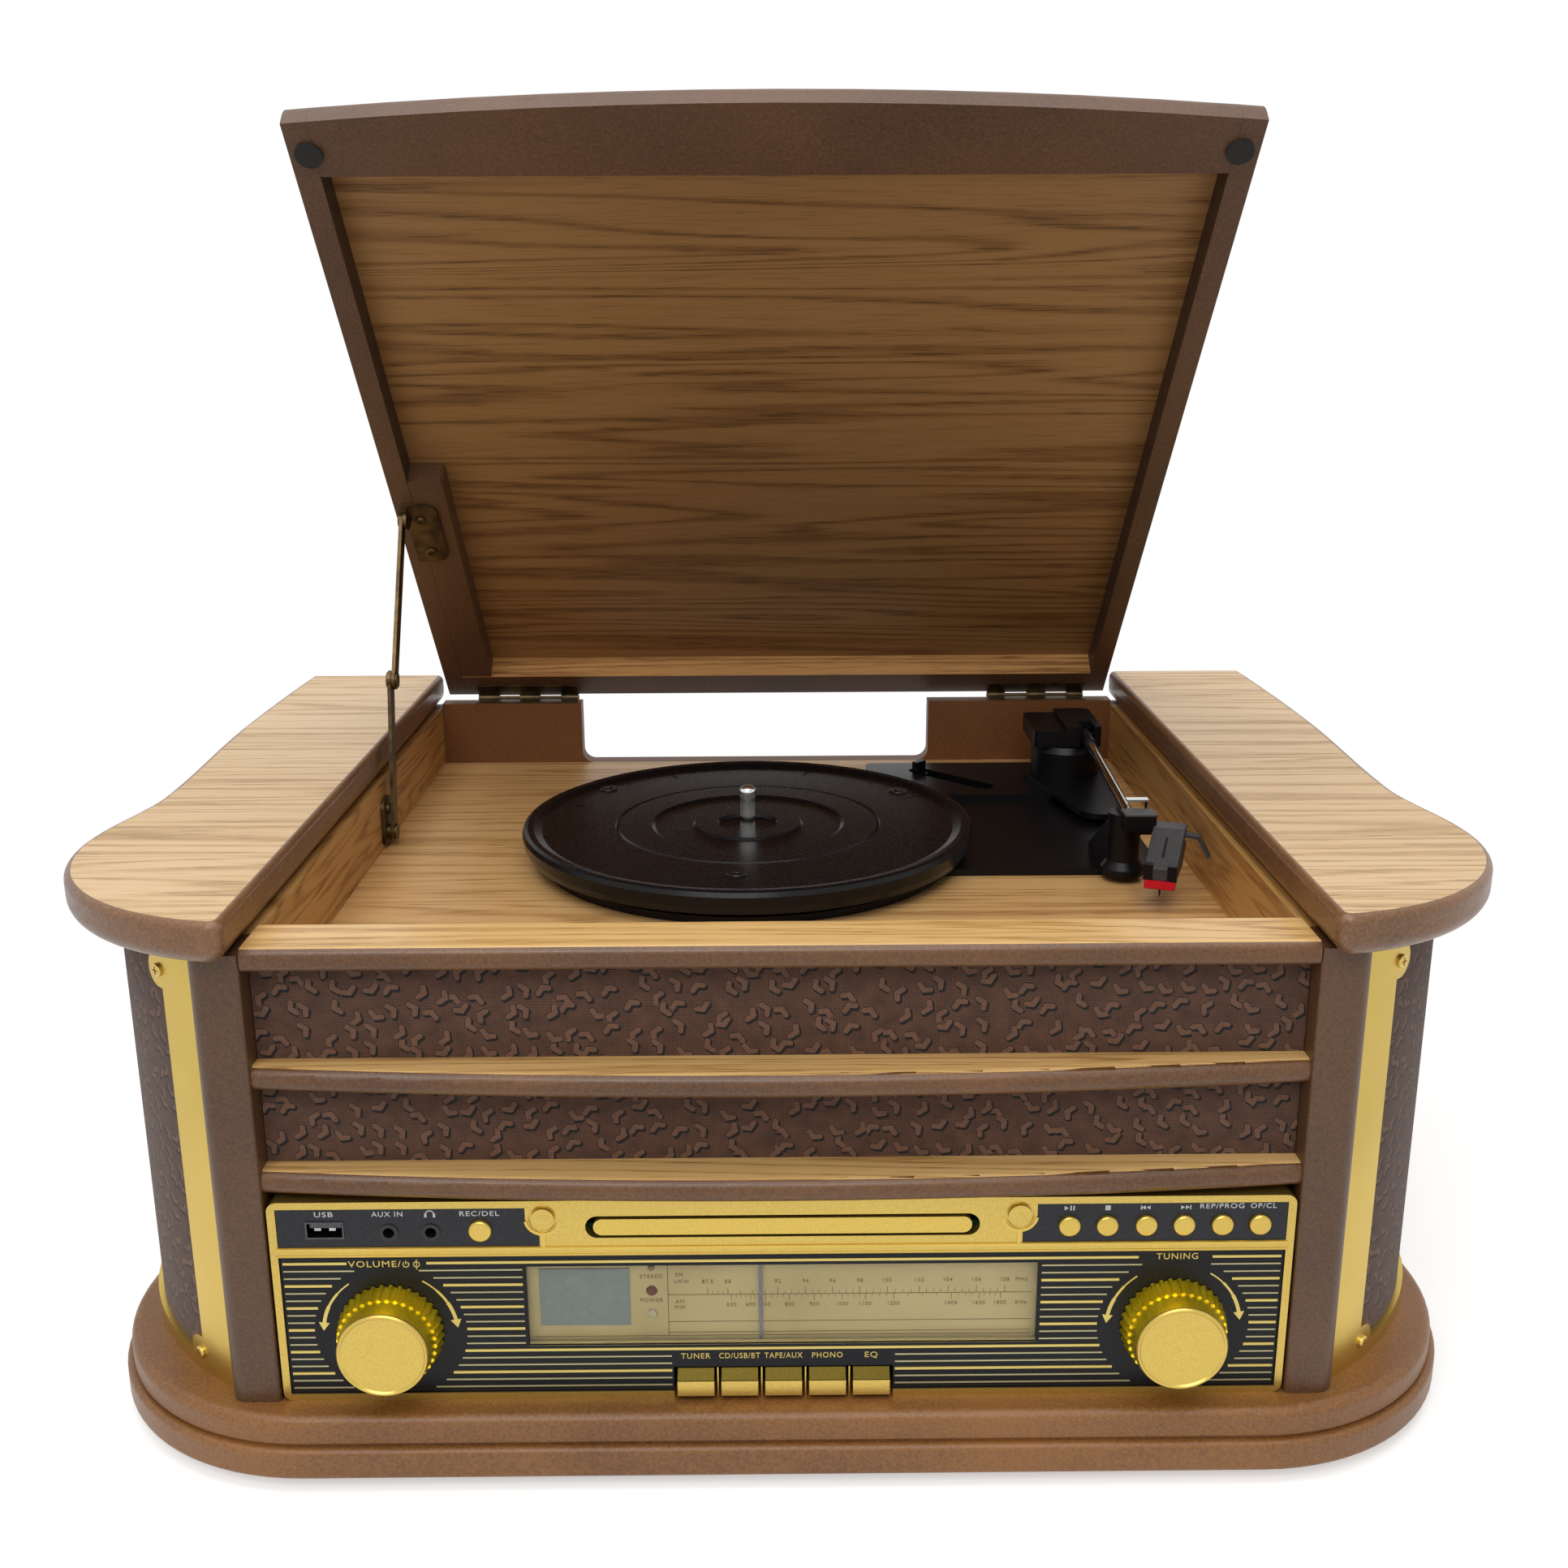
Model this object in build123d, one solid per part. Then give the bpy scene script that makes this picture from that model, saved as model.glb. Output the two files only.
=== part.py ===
from build123d import *
import math
import os

# A table-top music centre: a wooden cabinet with a record deck under a hinged lid,
# a fascia with radio dial, disc slot, knobs and keys, and bowed cloth grilles.
# Millimetres. X runs to the right, Y to the back and Z up. The lid is modelled open,
# held by its folding stay. All sizes are measured from the middle of the cabinet's
# footprint, and the finished pieces are moved so that the origin lies on the table
# under the middle of the whole depth, which the open lid's rear edge makes longer.

# Distance from the middle of the footprint back to the origin
origin_y = 6.0

# Cabinet outline
depth = 370.0
half_width = 248.0
front_inset = 3.0
corner_radius = 82.5
waist_half_width = 239.7
waist_y = -37.0
flank_half_width = 243.4
flank_y = 75.0
rear_half_width = 240.8
rear_y = depth / 2
front_y = -rear_y + front_inset

# Heights of the cabinet
foot_height = 5.0
plinth_bottom_round = 2.0
plinth_band_round = 2.0
plinth_top_round = 3.5
plinth_neck_depth = 1.0
plinth_top = 27.6
groove_bottom = 16.5
groove_height = 1.5
plinth_step = 2.5
wing_bottom = 193.5
wing_thickness = 15.5
wing_bulge = 3.0
wing_top_round = 2.9
wing_bottom_round = 7.5
wing_inner_x = 175.0

# Feet
foot_radius = 12.0
foot_x = 190.0
foot_y = 130.0

# Walls, back board and record deck
well_half_width = 174.25
inner_wall_thickness = 10.0
side_panel_x = 232.0
side_panel_front = -45.0
side_panel_thickness = 10.0
back_thickness = 10.0
back_top = 195.7
notch_left = -102.0
notch_right = 79.0
notch_radius = 6.0
deck_top = 164.1
deck_thickness = 10.0

# Front rail, slats, cloth board and pillars
rail_front = -172.0
rail_rear = -149.0
rail_top = 195.5
rail_thickness = 8.3
cloth_y = -162.3
cloth_board_thickness = 10.0
slat_thickness = 8.5
slat_bottoms = (106.7, 144.6)
slat_end_front = -170.5
slat_bow = 8.7
slat_round = 3.6
pillar_inner_x = 174.5
pillar_outer_x = 192.3
pillar_front = -172.1
pillar_rear = -152.0
pillar_round = 6.0

# Bowed side grilles: three points of the bow and where it meets the side panel
bow_start = (193.0, -163.9)
bow_middle = (221.5, -138.5)
bow_turn = (241.0, -102.5)
bow_end = (side_panel_x, side_panel_front)
trim_thickness = 2.0
grille_board_thickness = 6.0
trim_window_front = -154.0
trim_window_rear = -53.0
trim_band_height = 6.0
trim_tab_radius = 6.5
trim_screw_rise = 7.5
trim_screw_drop = 12.0
trim_screw_x = 207.5
screw_head_radius = 2.4
screw_head_height = 1.3
screw_slot = 0.7

# Speakers behind the grilles
speaker_radius = 25.0
speaker_flange = 2.0
speaker_cone_depth = 12.0
speaker_throat_radius = 11.0
magnet_radius = 15.0
magnet_depth = 10.0
speaker_z = 108.0

# Fascia
bezel_half_width = 173.6
bezel_top = 104.5
bezel_front = -171.4
bezel_plate = 4.0
bezel_depth = 15.4
bezel_wall = 2.0
bezel_corner = 3.5
bezel_rim = 2.6
field_depth = 1.0
crossbar_bottom = 83.7
crossbar_top = 87.4
insert_thickness = 1.2
left_insert = (-170.8, -82.2)
right_insert = (81.2, 170.8)
insert_top = 101.9
boss_z = 98.0
boss_xs = (-80.9, 80.1)
boss_radius = 4.0
boss_height = 1.2
cup_radius = 5.9
cup_wall = 1.1
cup_stem = 1.0

# Disc slot, tray and its housing
slot_half_width = 66.7
slot_bottom = 90.4
slot_top = 98.6
tray_bar_half_width = 64.0
tray_bar_height = 6.0
tray_half_width = 63.4
tray_length = 128.0
tray_thickness = 3.4
disc_radius = 60.5
disc_recess = 1.2
housing_half_width = 69.0
housing_wall = 1.5
housing_length = 138.0
housing_bottom = 86.8
housing_top = 102.3
runner_half_width = 4.0

# Round buttons
button_z = 93.6
button_radius = 3.8
record_button_x = -102.1
record_button_radius = 4.0
transport_names = (
    "play_button",
    "stop_button",
    "previous_button",
    "next_button",
    "repeat_button",
    "open_button",
)
transport_xs = (97.0, 109.8, 123.0, 135.8, 148.8, 161.6)
button_proud = 1.4
button_dome = 1.1
button_fit = 0.05
button_flange = 1.0
button_flange_thickness = 1.0
button_stem_radius = 1.2
button_travel = 1.0
switch_width = 5.0

# Sockets
usb_x = (-161.0, -148.0)
usb_z = (90.8, 97.2)
usb_wall = 0.6
jack_xs = (-133.0, -118.8)
jack_z = 92.9
jack_radius = 3.2
jack_bore = 1.9
socket_depth = 11.0
socket_proud = 0.4

# Dial
window_x = (-87.8, 87.4)
window_z = (48.0, 79.0)
pane_thickness = 1.2
pane_setback = 0.2
scale_margin = 4.0
scale_gap = 1.4
scale_thickness = 1.0
lcd_x = (-82.2, -52.3)
lcd_z = (57.3, 78.7)
lcd_height = 0.5
lamp_x = -44.1
lamp_zs = (61.1, 70.1)
lamp_radius = 1.3
pointer_x = -7.7
pointer_width = 1.2
pointer_thickness = 0.8
pointer_bottom = 47.6
pointer_gap = 0.3
pointer_carrier = 8.0

# Knobs
knob_xs = (-134.9, 134.4)
knob_z = 54.4
knob_flange_radius = 18.4
knob_flange_top_radius = 17.1
knob_flange_height = 4.0
knob_face_radius = 15.0
knob_height = 14.8
knob_gap = 0.4
knob_teeth = 36
knob_tooth_depth = 0.9
knob_rim = 1.4
knob_face_recess = 0.6
shaft_radius = 3.0
shaft_fit = 0.05
control_radius = 8.0

# Selector keys
key_names = ("tuner_key", "disc_key", "tape_key", "phono_key", "tone_key")
key_pitch = 15.2
key_width = 13.4
key_centre_x = 0.05
key_bottom = 27.75
key_ridge = 33.0
key_top = 38.5
key_front = -177.0
key_shoulder = -172.2
key_rear = -161.0
key_slope_clearance = 0.7
key_divider = 0.5

# Circuit board behind the fascia, and the transformer
board_thickness = 1.6
transformer_x = (60.0, 118.0)
transformer_y = (-70.0, -18.0)
transformer_height = 50.0

# Turntable mechanism
platter_x = -13.3
platter_y = 19.4
platter_radius = 97.0
platter_rim_top = 180.5
platter_skirt_bottom = 170.6
platter_inset_top = 178.6
platter_wall = 2.5
platter_lip = 5.0
groove_radius = 56.5
ring_radius = 41.6
label_radius = 22.8
centre_well_radius = 13.2
belt_rim_radius = 62.0
hub_radius = 9.0
spindle_radius = 3.6
spindle_fit = 0.05
spindle_top = 195.0
plate_low_height = 3.0
plate_high_height = 5.4
plate_left = 45.0
plate_right = 160.0
plate_front = -13.0
plate_rear = 149.0
plate_step_y = 90.0
plate_apron_radius = 88.0
selector_start = (71.0, 134.0)
selector_end = (100.0, 105.0)
selector_slot_width = 10.0
selector_slot_depth = 3.4
selector_lever_height = 6.0
motor_x = 37.0
motor_y = -28.0
motor_radius = 15.0
motor_height = 22.0
motor_shaft_radius = 1.0
pulley_radius = 4.2
pulley_height = 6.0

# Tonearm
turret_x = 142.0
turret_y = 123.0
turret_radius = 16.5
turret_height = 17.7
turret_foot_radius = 20.0
turret_foot_height = 2.6
turret_toe = (147.0, 58.0)
turret_toe_radius = 10.0
carriage_x = (124.5, 157.5)
carriage_y = (110.0, 150.0)
carriage_height = 10.0
carriage_gap = 0.3
carriage_round = 3.0
arm_start = (150.5, 118.0, 191.6)
arm_end = (143.4, -26.0, 195.4)
arm_radius = 1.65
arm_sleeve_radius = 2.9
arm_sleeve_length = 17.0
arm_pivot_radius = 1.5
arm_pivot_fit = 0.05
arm_yoke_half_width = 3.4
arm_pivot_reach = 6.0
connector_x = (140.0, 151.0)
connector_y = (-28.4, -25.4)
connector_z = (188.6, 196.2)
rest_x = 142.2
rest_y = -18.0
rest_radius = 6.7
rest_foot_radius = 8.8
rest_gap = 0.3
rest_top = 193.3
rest_web_end_y = 22.0
clip_thickness = 0.8
clip_width = 4.0
clip_clearance = 1.0
clip_pin_z = 186.5
clip_pin_radius = 0.8
shell_turn = 20.0
shell_width = 13.5
shell_origin = (147.0, -28.6, 192.0)
shell_flat = 9.0
shell_slope_length = 24.0
shell_drop = 9.5
shell_nose_height = 5.0
stylus_height = 4.5
needle_radius = 0.45
needle_length = 2.8
finger_lift_reach = 9.5
finger_lift_drop = 7.5
finger_lift_width = 5.0

# Lid, as it lies when closed
lid_half_width = 172.2
lid_length = 349.75
lid_bow = 7.7
lid_underside = 196.9
lid_rail_height = 12.0
lid_panel_thickness = 3.0
lid_front_round = 11.0
lid_side_rail = 9.0
lid_front_rail_start = 327.5
lid_rear_rail = (1.0, 16.0)
stay_block_x = (-163.2, -148.0)
stay_block_s = (16.0, 165.0)
stay_block_round = 2.5
bumper_radius = 5.0
bumper_x = 165.0
bumper_s = 337.0
bumper_gap = 0.1
lid_open_angle = 47.2

# Lid hinges
hinge_y = 187.3
hinge_z = 196.3
hinge_knuckle_radius = 1.9
hinge_pin_radius = 0.9
hinge_pin_fit = 0.05
hinge_leaf = 0.5
hinge_leaf_depth = 8.0
hinge_spans = ((-165.0, -111.5), (107.0, 160.5))
hinge_knuckles = 5
hinge_knuckle_gap = 0.25

# Folding lid stay, opened at its elbow
stay_wall_pivot = (34.9, 170.5)
stay_lid_pivot_s = 145.0
stay_lid_pivot_drop = 4.5
stay_lower_length = 67.0
stay_upper_length = 75.0
stay_half_width = 3.6
stay_eye_radius = 4.2
stay_thickness = 1.5
stay_gap = 0.3
stay_pin_radius = 2.0
stay_pin_fit = 0.05
stay_head_radius = 3.4
stay_head_height = 0.7
stay_wall_plate = 1.5
stay_lower_x = -171.2
stay_wall_plate_half = 8.0
stay_wall_plate_top = 186.0
lid_bracket_thickness = 1.4
lid_bracket_s = (112.0, 151.0)
lid_bracket_inner_x = -153.0
lid_bracket_screws = ((-161.6, 141.3), (-160.4, 119.4))

# Mains lead gland
gland_x = -150.0
gland_z = 50.0
gland_flange_radius = 8.0
gland_radius = 5.5
gland_length = 9.0


# Small shape helpers

def block(x, y, z):
    """A box between low and high limits on each axis."""
    centre = Pos(sum(x) / 2, sum(y) / 2, sum(z) / 2)
    return centre * Box(x[1] - x[0], y[1] - y[0], z[1] - z[0])


def post(x, y, z, radius):
    """An upright cylinder between two heights."""
    return Pos(x, y, sum(z) / 2) * Cylinder(radius, z[1] - z[0])


def rod_y(x, z, y, radius):
    """A cylinder along Y between two depths."""
    return Pos(x, sum(y) / 2, z) * Rot(90, 0, 0) * Cylinder(radius, y[1] - y[0])


def rod_x(y, z, x, radius):
    """A cylinder along X between two limits."""
    return Pos(sum(x) / 2, y, z) * Rot(0, 90, 0) * Cylinder(radius, x[1] - x[0])


def rod_between(start, end, radius):
    """A cylinder from one point to another."""
    way = Vector(*end) - Vector(*start)
    plane = Plane(origin=start, z_dir=way)
    return extrude(plane * Circle(radius), way.length)


def prism_x(points, x):
    """A profile of (y, z) points drawn out along X."""
    corners = [(x[0], y, z) for y, z in points]
    return extrude(make_face(Polyline(corners, close=True)), x[1] - x[0], dir=(1, 0, 0))


def prism_z(points, z):
    """A plan of (x, y) points drawn out along Z."""
    corners = [(x, y, z[0]) for x, y in points]
    return extrude(make_face(Polyline(corners, close=True)), z[1] - z[0], dir=(0, 0, 1))


def turned(points, place):
    """A (radius, height) profile turned about an upright axis at a place."""
    profile = make_face(Polyline([(r, 0, h) for r, h in points], close=True))
    return place * revolve(profile, Axis.Z)


def group(shapes):
    """Separate solids that share one node."""
    solids = []
    for shape in shapes:
        solids.extend(shape.solids())
    return Compound(solids)


def both_sides(shape):
    """A piece and its mirror image on the other side of the cabinet."""
    return group([shape, mirror(shape, about=Plane.YZ)])


# Cabinet

def half_outline(grow):
    """Right half of the cabinet's plan: straight front, round corner and waisted side."""
    centre = (half_width - corner_radius, front_y + corner_radius)
    radius = corner_radius + grow
    corner = CenterArc(centre, radius, -90, 90)
    waist = (waist_half_width + grow, waist_y)
    flank = (flank_half_width + grow, flank_y)
    rear = (rear_half_width + grow, rear_y)
    straight = [(0, 1), (0, 1)]
    edges = [
        Line((0, front_y - grow), (centre[0], front_y - grow)),
        corner,
        Spline((centre[0] + radius, centre[1]), waist, tangents=straight),
        Spline(waist, flank, tangents=straight),
        Spline(flank, rear, tangents=[(0, 1), (-0.05, 1)]),
        Line(rear, (0, rear_y)),
        Line((0, rear_y), (0, front_y - grow)),
    ]
    return make_face(edges)


def cabinet_slab(grow, z, top_round=0.0, bottom_round=0.0):
    """A board with the cabinet's plan, with rounded edges."""
    half = extrude(Pos(0, 0, z[0]) * half_outline(grow), z[1] - z[0])
    if top_round:
        half = fillet(outer_edges(half, z[1]), top_round)
    if bottom_round:
        half = fillet(outer_edges(half, z[0]), bottom_round)
    return half + mirror(half, about=Plane.YZ)


def outer_edges(solid, z, inner_x=0.0):
    """Edges at one height, without those on the middle or inner plane and the rear."""
    chosen = []
    for edge in solid.edges():
        low = edge.bounding_box().min
        high = edge.bounding_box().max
        level = abs(low.Z - z) < 0.01 and abs(high.Z - z) < 0.01
        inner = abs(high.X - inner_x) < 0.01
        rear = abs(low.Y - rear_y) < 0.01
        if level and not inner and not rear:
            chosen.append(edge)
    return chosen


def plinth():
    lower = cabinet_slab(plinth_step, (foot_height, groove_bottom), plinth_band_round, plinth_bottom_round)
    neck = cabinet_slab(-plinth_neck_depth, (groove_bottom, groove_bottom + groove_height))
    upper = cabinet_slab(0.0, (groove_bottom + groove_height, plinth_top), plinth_top_round)
    return lower + neck + upper


def rubber_feet():
    feet = []
    for x in (-foot_x, foot_x):
        for y in (-foot_y, foot_y):
            feet.append(post(x, y, (0, foot_height), foot_radius))
    return group(feet)


def cabinet_sides():
    inner = block(
        (well_half_width, well_half_width + inner_wall_thickness),
        (pillar_rear, rear_y - back_thickness),
        (plinth_top, wing_bottom),
    )
    outer = block(
        (side_panel_x - side_panel_thickness, side_panel_x),
        (side_panel_front, rear_y - back_thickness),
        (plinth_top, wing_bottom),
    )
    return both_sides(group([inner, outer]))


def back_panel():
    board = block((-side_panel_x, side_panel_x), (rear_y - back_thickness, rear_y), (plinth_top, wing_bottom))
    crest = block((-well_half_width, well_half_width), (rear_y - back_thickness, rear_y), (wing_bottom, back_top))
    width = notch_right - notch_left
    height = back_top - deck_top + 2 * notch_radius
    notch = Plane.XZ * RectangleRounded(width, height, notch_radius)
    notch = extrude(notch, back_thickness * 3, both=True)
    notch = Pos((notch_left + notch_right) / 2, rear_y, deck_top + height / 2) * notch
    return board + crest - notch


def record_deck():
    return block(
        (-well_half_width, well_half_width),
        (cloth_y + cloth_board_thickness, rear_y - back_thickness),
        (deck_top - deck_thickness, deck_top),
    ) - post(motor_x, motor_y, (0, deck_top + 1), motor_shaft_radius + 4)


def front_top_rail():
    rail = block((-well_half_width, well_half_width), (rail_front, rail_rear), (rail_top - rail_thickness, rail_top))
    front = rail.edges().filter_by(Axis.X).group_by(Axis.Y)[0]
    return fillet(front, 3.0)


def slat(bottom):
    """One bowed slat, rounded along its front edge."""
    ends = pillar_inner_x
    edges = [
        ThreePointArc((-ends, slat_end_front), (0, slat_end_front - slat_bow), (ends, slat_end_front)),
        Line((ends, slat_end_front), (ends, cloth_y)),
        Line((ends, cloth_y), (-ends, cloth_y)),
        Line((-ends, cloth_y), (-ends, slat_end_front)),
    ]
    body = extrude(Pos(0, 0, bottom) * make_face(edges), slat_thickness)
    front = [edge for edge in body.edges() if edge.geom_type == GeomType.CIRCLE]
    return fillet(front, slat_round)


def front_slats():
    return group([slat(bottom) for bottom in slat_bottoms])


def front_grille():
    return block(
        (-well_half_width, well_half_width),
        (cloth_y, cloth_y + cloth_board_thickness),
        (bezel_top, rail_top - rail_thickness),
    )


def pillars():
    pillar = block((pillar_inner_x, pillar_outer_x), (pillar_front, pillar_rear), (plinth_top, wing_bottom))
    upright = pillar.edges().filter_by(Axis.Z).group_by(Axis.Y)[0].sort_by(Axis.X)
    pillar = fillet(upright[-1:], pillar_round)
    upright = pillar.edges().filter_by(Axis.Z).group_by(Axis.Y)[0].sort_by(Axis.X)
    return both_sides(fillet(upright[:1], 1.5))


def right_wing():
    top = wing_bottom + wing_thickness
    slab = extrude(Pos(0, 0, wing_bottom) * half_outline(wing_bulge), wing_thickness)
    wing = slab & block((wing_inner_x, 2 * half_width), (-depth, depth), (0, 2 * top))
    corner = wing.edges().filter_by(Axis.Z).group_by(Axis.X)[0].sort_by(Axis.Y)[0]
    wing = fillet([corner], 4.0)
    wing = fillet(outer_edges(wing, top, wing_inner_x), wing_top_round)
    return fillet(outer_edges(wing, wing_bottom, wing_inner_x), wing_bottom_round)


def left_wing():
    return mirror(right_wing(), about=Plane.YZ)


# Bowed side grilles, their trim and speakers

def circle_through(a, b, c):
    """Centre and radius of the circle through three points."""
    ax, ay = a
    bx, by = b[0] - ax, b[1] - ay
    cx, cy = c[0] - ax, c[1] - ay
    twice = 2 * (bx * cy - by * cx)
    ux = (cy * (bx * bx + by * by) - by * (cx * cx + cy * cy)) / twice
    uy = (bx * (cx * cx + cy * cy) - cx * (bx * bx + by * by)) / twice
    return (ax + ux, ay + uy), math.hypot(ux, uy)


def bow_arcs():
    """The two tangent arcs of the bow, each as centre, radius, start and sweep."""
    centre, radius = circle_through(bow_start, bow_middle, bow_turn)
    first = math.degrees(math.atan2(bow_start[1] - centre[1], bow_start[0] - centre[0]))
    turn = math.degrees(math.atan2(bow_turn[1] - centre[1], bow_turn[0] - centre[0]))
    nx = (bow_turn[0] - centre[0]) / radius
    ny = (bow_turn[1] - centre[1]) / radius
    dx = bow_turn[0] - bow_end[0]
    dy = bow_turn[1] - bow_end[1]
    second_radius = (dx * dx + dy * dy) / (2 * (nx * dx + ny * dy))
    second = (bow_turn[0] - nx * second_radius, bow_turn[1] - ny * second_radius)
    last = math.degrees(math.atan2(bow_end[1] - second[1], bow_end[0] - second[0]))
    return (centre, radius, first, turn - first), (second, second_radius, turn, last - turn)


def bowed_board(inset, thickness, z):
    """A board that follows the bow, set in from it by a distance."""
    arcs = bow_arcs()
    outer = [CenterArc(c, r - inset, start, sweep) for c, r, start, sweep in arcs]
    inner = [CenterArc(c, r - inset - thickness, start, sweep) for c, r, start, sweep in arcs]
    ends = [Line(outer[0] @ 0, inner[0] @ 0), Line(outer[1] @ 1, inner[1] @ 1)]
    return extrude(Pos(0, 0, z[0]) * make_face(outer + inner + ends), z[1] - z[0])


def bow_frame(x, z, inset):
    """A frame on the first arc of the bow at a given x, looking out of the cabinet."""
    (cx, cy), radius, start, sweep = bow_arcs()[0]
    reach = x - cx
    y = cy - math.sqrt((radius - inset) ** 2 - reach ** 2)
    return Plane(origin=(x, y, z), x_dir=(0, 0, 1), z_dir=(reach, y - cy, 0))


def beside_pillar(shape):
    """What is left of a bowed piece outside the pillar."""
    return shape - block((0, pillar_outer_x), (-depth, 0), (0, wing_bottom + 1))


def side_grilles():
    board = bowed_board(trim_thickness, grille_board_thickness, (plinth_top, wing_bottom))
    return both_sides(beside_pillar(board))


def trim_screw_heights():
    return (plinth_top + trim_screw_rise, wing_bottom - trim_screw_drop)


def side_trims():
    frame = bowed_board(0, trim_thickness, (plinth_top, wing_bottom))
    window = block(
        (bow_start[0], half_width),
        (trim_window_front, trim_window_rear),
        (plinth_top + trim_band_height, wing_bottom - trim_band_height),
    )
    for z in trim_screw_heights():
        window = window - extrude(bow_frame(trim_screw_x, z, 0) * Circle(trim_tab_radius), 5, both=True)
    return both_sides(beside_pillar(frame - window))


def screw_head(plane, radius=screw_head_radius):
    """A domed cross-head screw on a plane."""
    head = extrude(plane * Circle(radius), screw_head_height)
    head = fillet(head.edges().sort_by(Axis(plane.origin, plane.z_dir))[-1:], screw_head_height * 0.6)
    recess = plane.offset(screw_head_height)
    for turn in (0, 90):
        bar = recess * Rot(0, 0, turn) * Rectangle(radius * 1.2, screw_slot)
        head = head - extrude(bar, -0.5)
    return head


def trim_screws():
    heads = [screw_head(bow_frame(trim_screw_x, z, 0)) for z in trim_screw_heights()]
    return both_sides(group(heads))


def speakers():
    inner_radius = bow_arcs()[0][1] - trim_thickness - grille_board_thickness
    sag = inner_radius - math.sqrt(inner_radius ** 2 - speaker_radius ** 2)
    inset = trim_thickness + grille_board_thickness + sag + 0.3
    back = speaker_cone_depth + magnet_depth
    profile = [
        (0, -speaker_cone_depth + 4),
        (speaker_throat_radius - 2, -speaker_cone_depth + 2),
        (speaker_radius - 4, 0),
        (speaker_radius, 0),
        (speaker_radius, -speaker_flange),
        (speaker_radius - 4, -speaker_flange),
        (speaker_throat_radius + 2, -speaker_cone_depth),
        (magnet_radius, -speaker_cone_depth),
        (magnet_radius, -back),
        (0, -back),
    ]
    cone = turned(profile, Pos(0, 0, 0))
    plane = bow_frame(bow_middle[0], speaker_z, inset)
    return both_sides(plane.location * cone)


# Fascia

def bezel_depths():
    """Front face, field face and rear faces of the fascia moulding."""
    field = bezel_front + field_depth
    plate_rear = bezel_front + bezel_plate
    rear = bezel_front + bezel_depth
    return field, plate_rear, rear


def key_centres():
    middle = (len(key_names) - 1) / 2
    return [key_centre_x + (i - middle) * key_pitch for i in range(len(key_names))]


def insert_outline(index, grow):
    """Plan of a black insert on the fascia, with a bay round the boss beside it."""
    x = (left_insert, right_insert)[index]
    boss_x = boss_xs[index]
    z = (crossbar_top - grow, insert_top + grow)
    depths = (bezel_front - 1, bezel_front + insert_thickness)
    plate = block((x[0] - grow, x[1] + grow), depths, z)
    bay = rod_y(boss_x, boss_z, (bezel_front - 2, bezel_front + 4), cup_radius - grow)
    inner = (boss_x - cup_radius + grow, boss_x + cup_radius - grow)
    above = block(inner, (bezel_front - 2, bezel_front + 4), (boss_z, insert_top + 5))
    return plate - bay - above


def slot_shape(half_length, height, centre_z, y):
    """A round-ended bar along X between two depths."""
    face = Plane.XZ * SlotOverall(2 * half_length, height)
    bar = extrude(face, (y[1] - y[0]) / 2, both=True)
    return Pos(0, sum(y) / 2, centre_z) * bar


def fascia_holes():
    """Everything that passes through the fascia plate."""
    through = (bezel_front - 5, bezel_front + bezel_plate + 2)
    slot_z = (slot_bottom + slot_top) / 2
    holes = [
        block(window_x, through, window_z),
        slot_shape(slot_half_width, slot_top - slot_bottom, slot_z, through),
        block(usb_x, through, usb_z),
    ]
    for x in jack_xs:
        holes.append(rod_y(x, jack_z, through, jack_radius))
    for x in transport_xs:
        holes.append(rod_y(x, button_z, through, button_radius + button_fit))
    holes.append(rod_y(record_button_x, button_z, through, record_button_radius + button_fit))
    for x in knob_xs:
        holes.append(rod_y(x, knob_z, through, shaft_radius + shaft_fit))
    return group(holes)


def front_bezel():
    field, plate_rear, rear = bezel_depths()
    half = bezel_half_width
    body = block((-half, half), (bezel_front, rear), (plinth_top, bezel_top))
    body = fillet(body.edges().filter_by(Axis.Y), bezel_corner)
    body = body - block(
        (-half + bezel_wall, half - bezel_wall),
        (plate_rear, rear + 1),
        (plinth_top + bezel_wall, bezel_top - bezel_wall),
    )
    body = body - block(
        (-half + bezel_rim, half - bezel_rim),
        (bezel_front - 1, field),
        (plinth_top + bezel_rim, crossbar_bottom),
    )
    for index in (0, 1):
        body = body - insert_outline(index, 0)
    for x in boss_xs:
        groove = rod_y(x, boss_z, (bezel_front - 1, bezel_front + 0.6), cup_radius - cup_wall)
        island = rod_y(x, boss_z, (bezel_front - boss_height, bezel_front + 0.6), boss_radius)
        body = body - groove + island
    body = body - fascia_holes()
    keys = key_centres()
    gap = (key_pitch - key_width) / 2
    left = keys[0] - key_width / 2 - gap
    right = keys[-1] + key_width / 2 + gap
    body = body - block((left, right), (bezel_front - 1, rear + 1), (plinth_top - 1, key_top + key_slope_clearance))
    for x in keys[:-1]:
        mid = x + key_pitch / 2
        wall = (mid - key_divider / 2, mid + key_divider / 2)
        body = body + block(wall, (bezel_front, plate_rear), (key_bottom, key_top + 1))
    return body


def black_inserts():
    field, plate_rear, rear = bezel_depths()
    holes = fascia_holes()
    plates = []
    for index in (0, 1):
        outline = insert_outline(index, 0)
        proud = 0.3
        face = block((-half_width, half_width), (bezel_front + proud, bezel_front + 5), (0, bezel_top))
        plates.append((outline & face) - holes)
    return group(plates)


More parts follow.
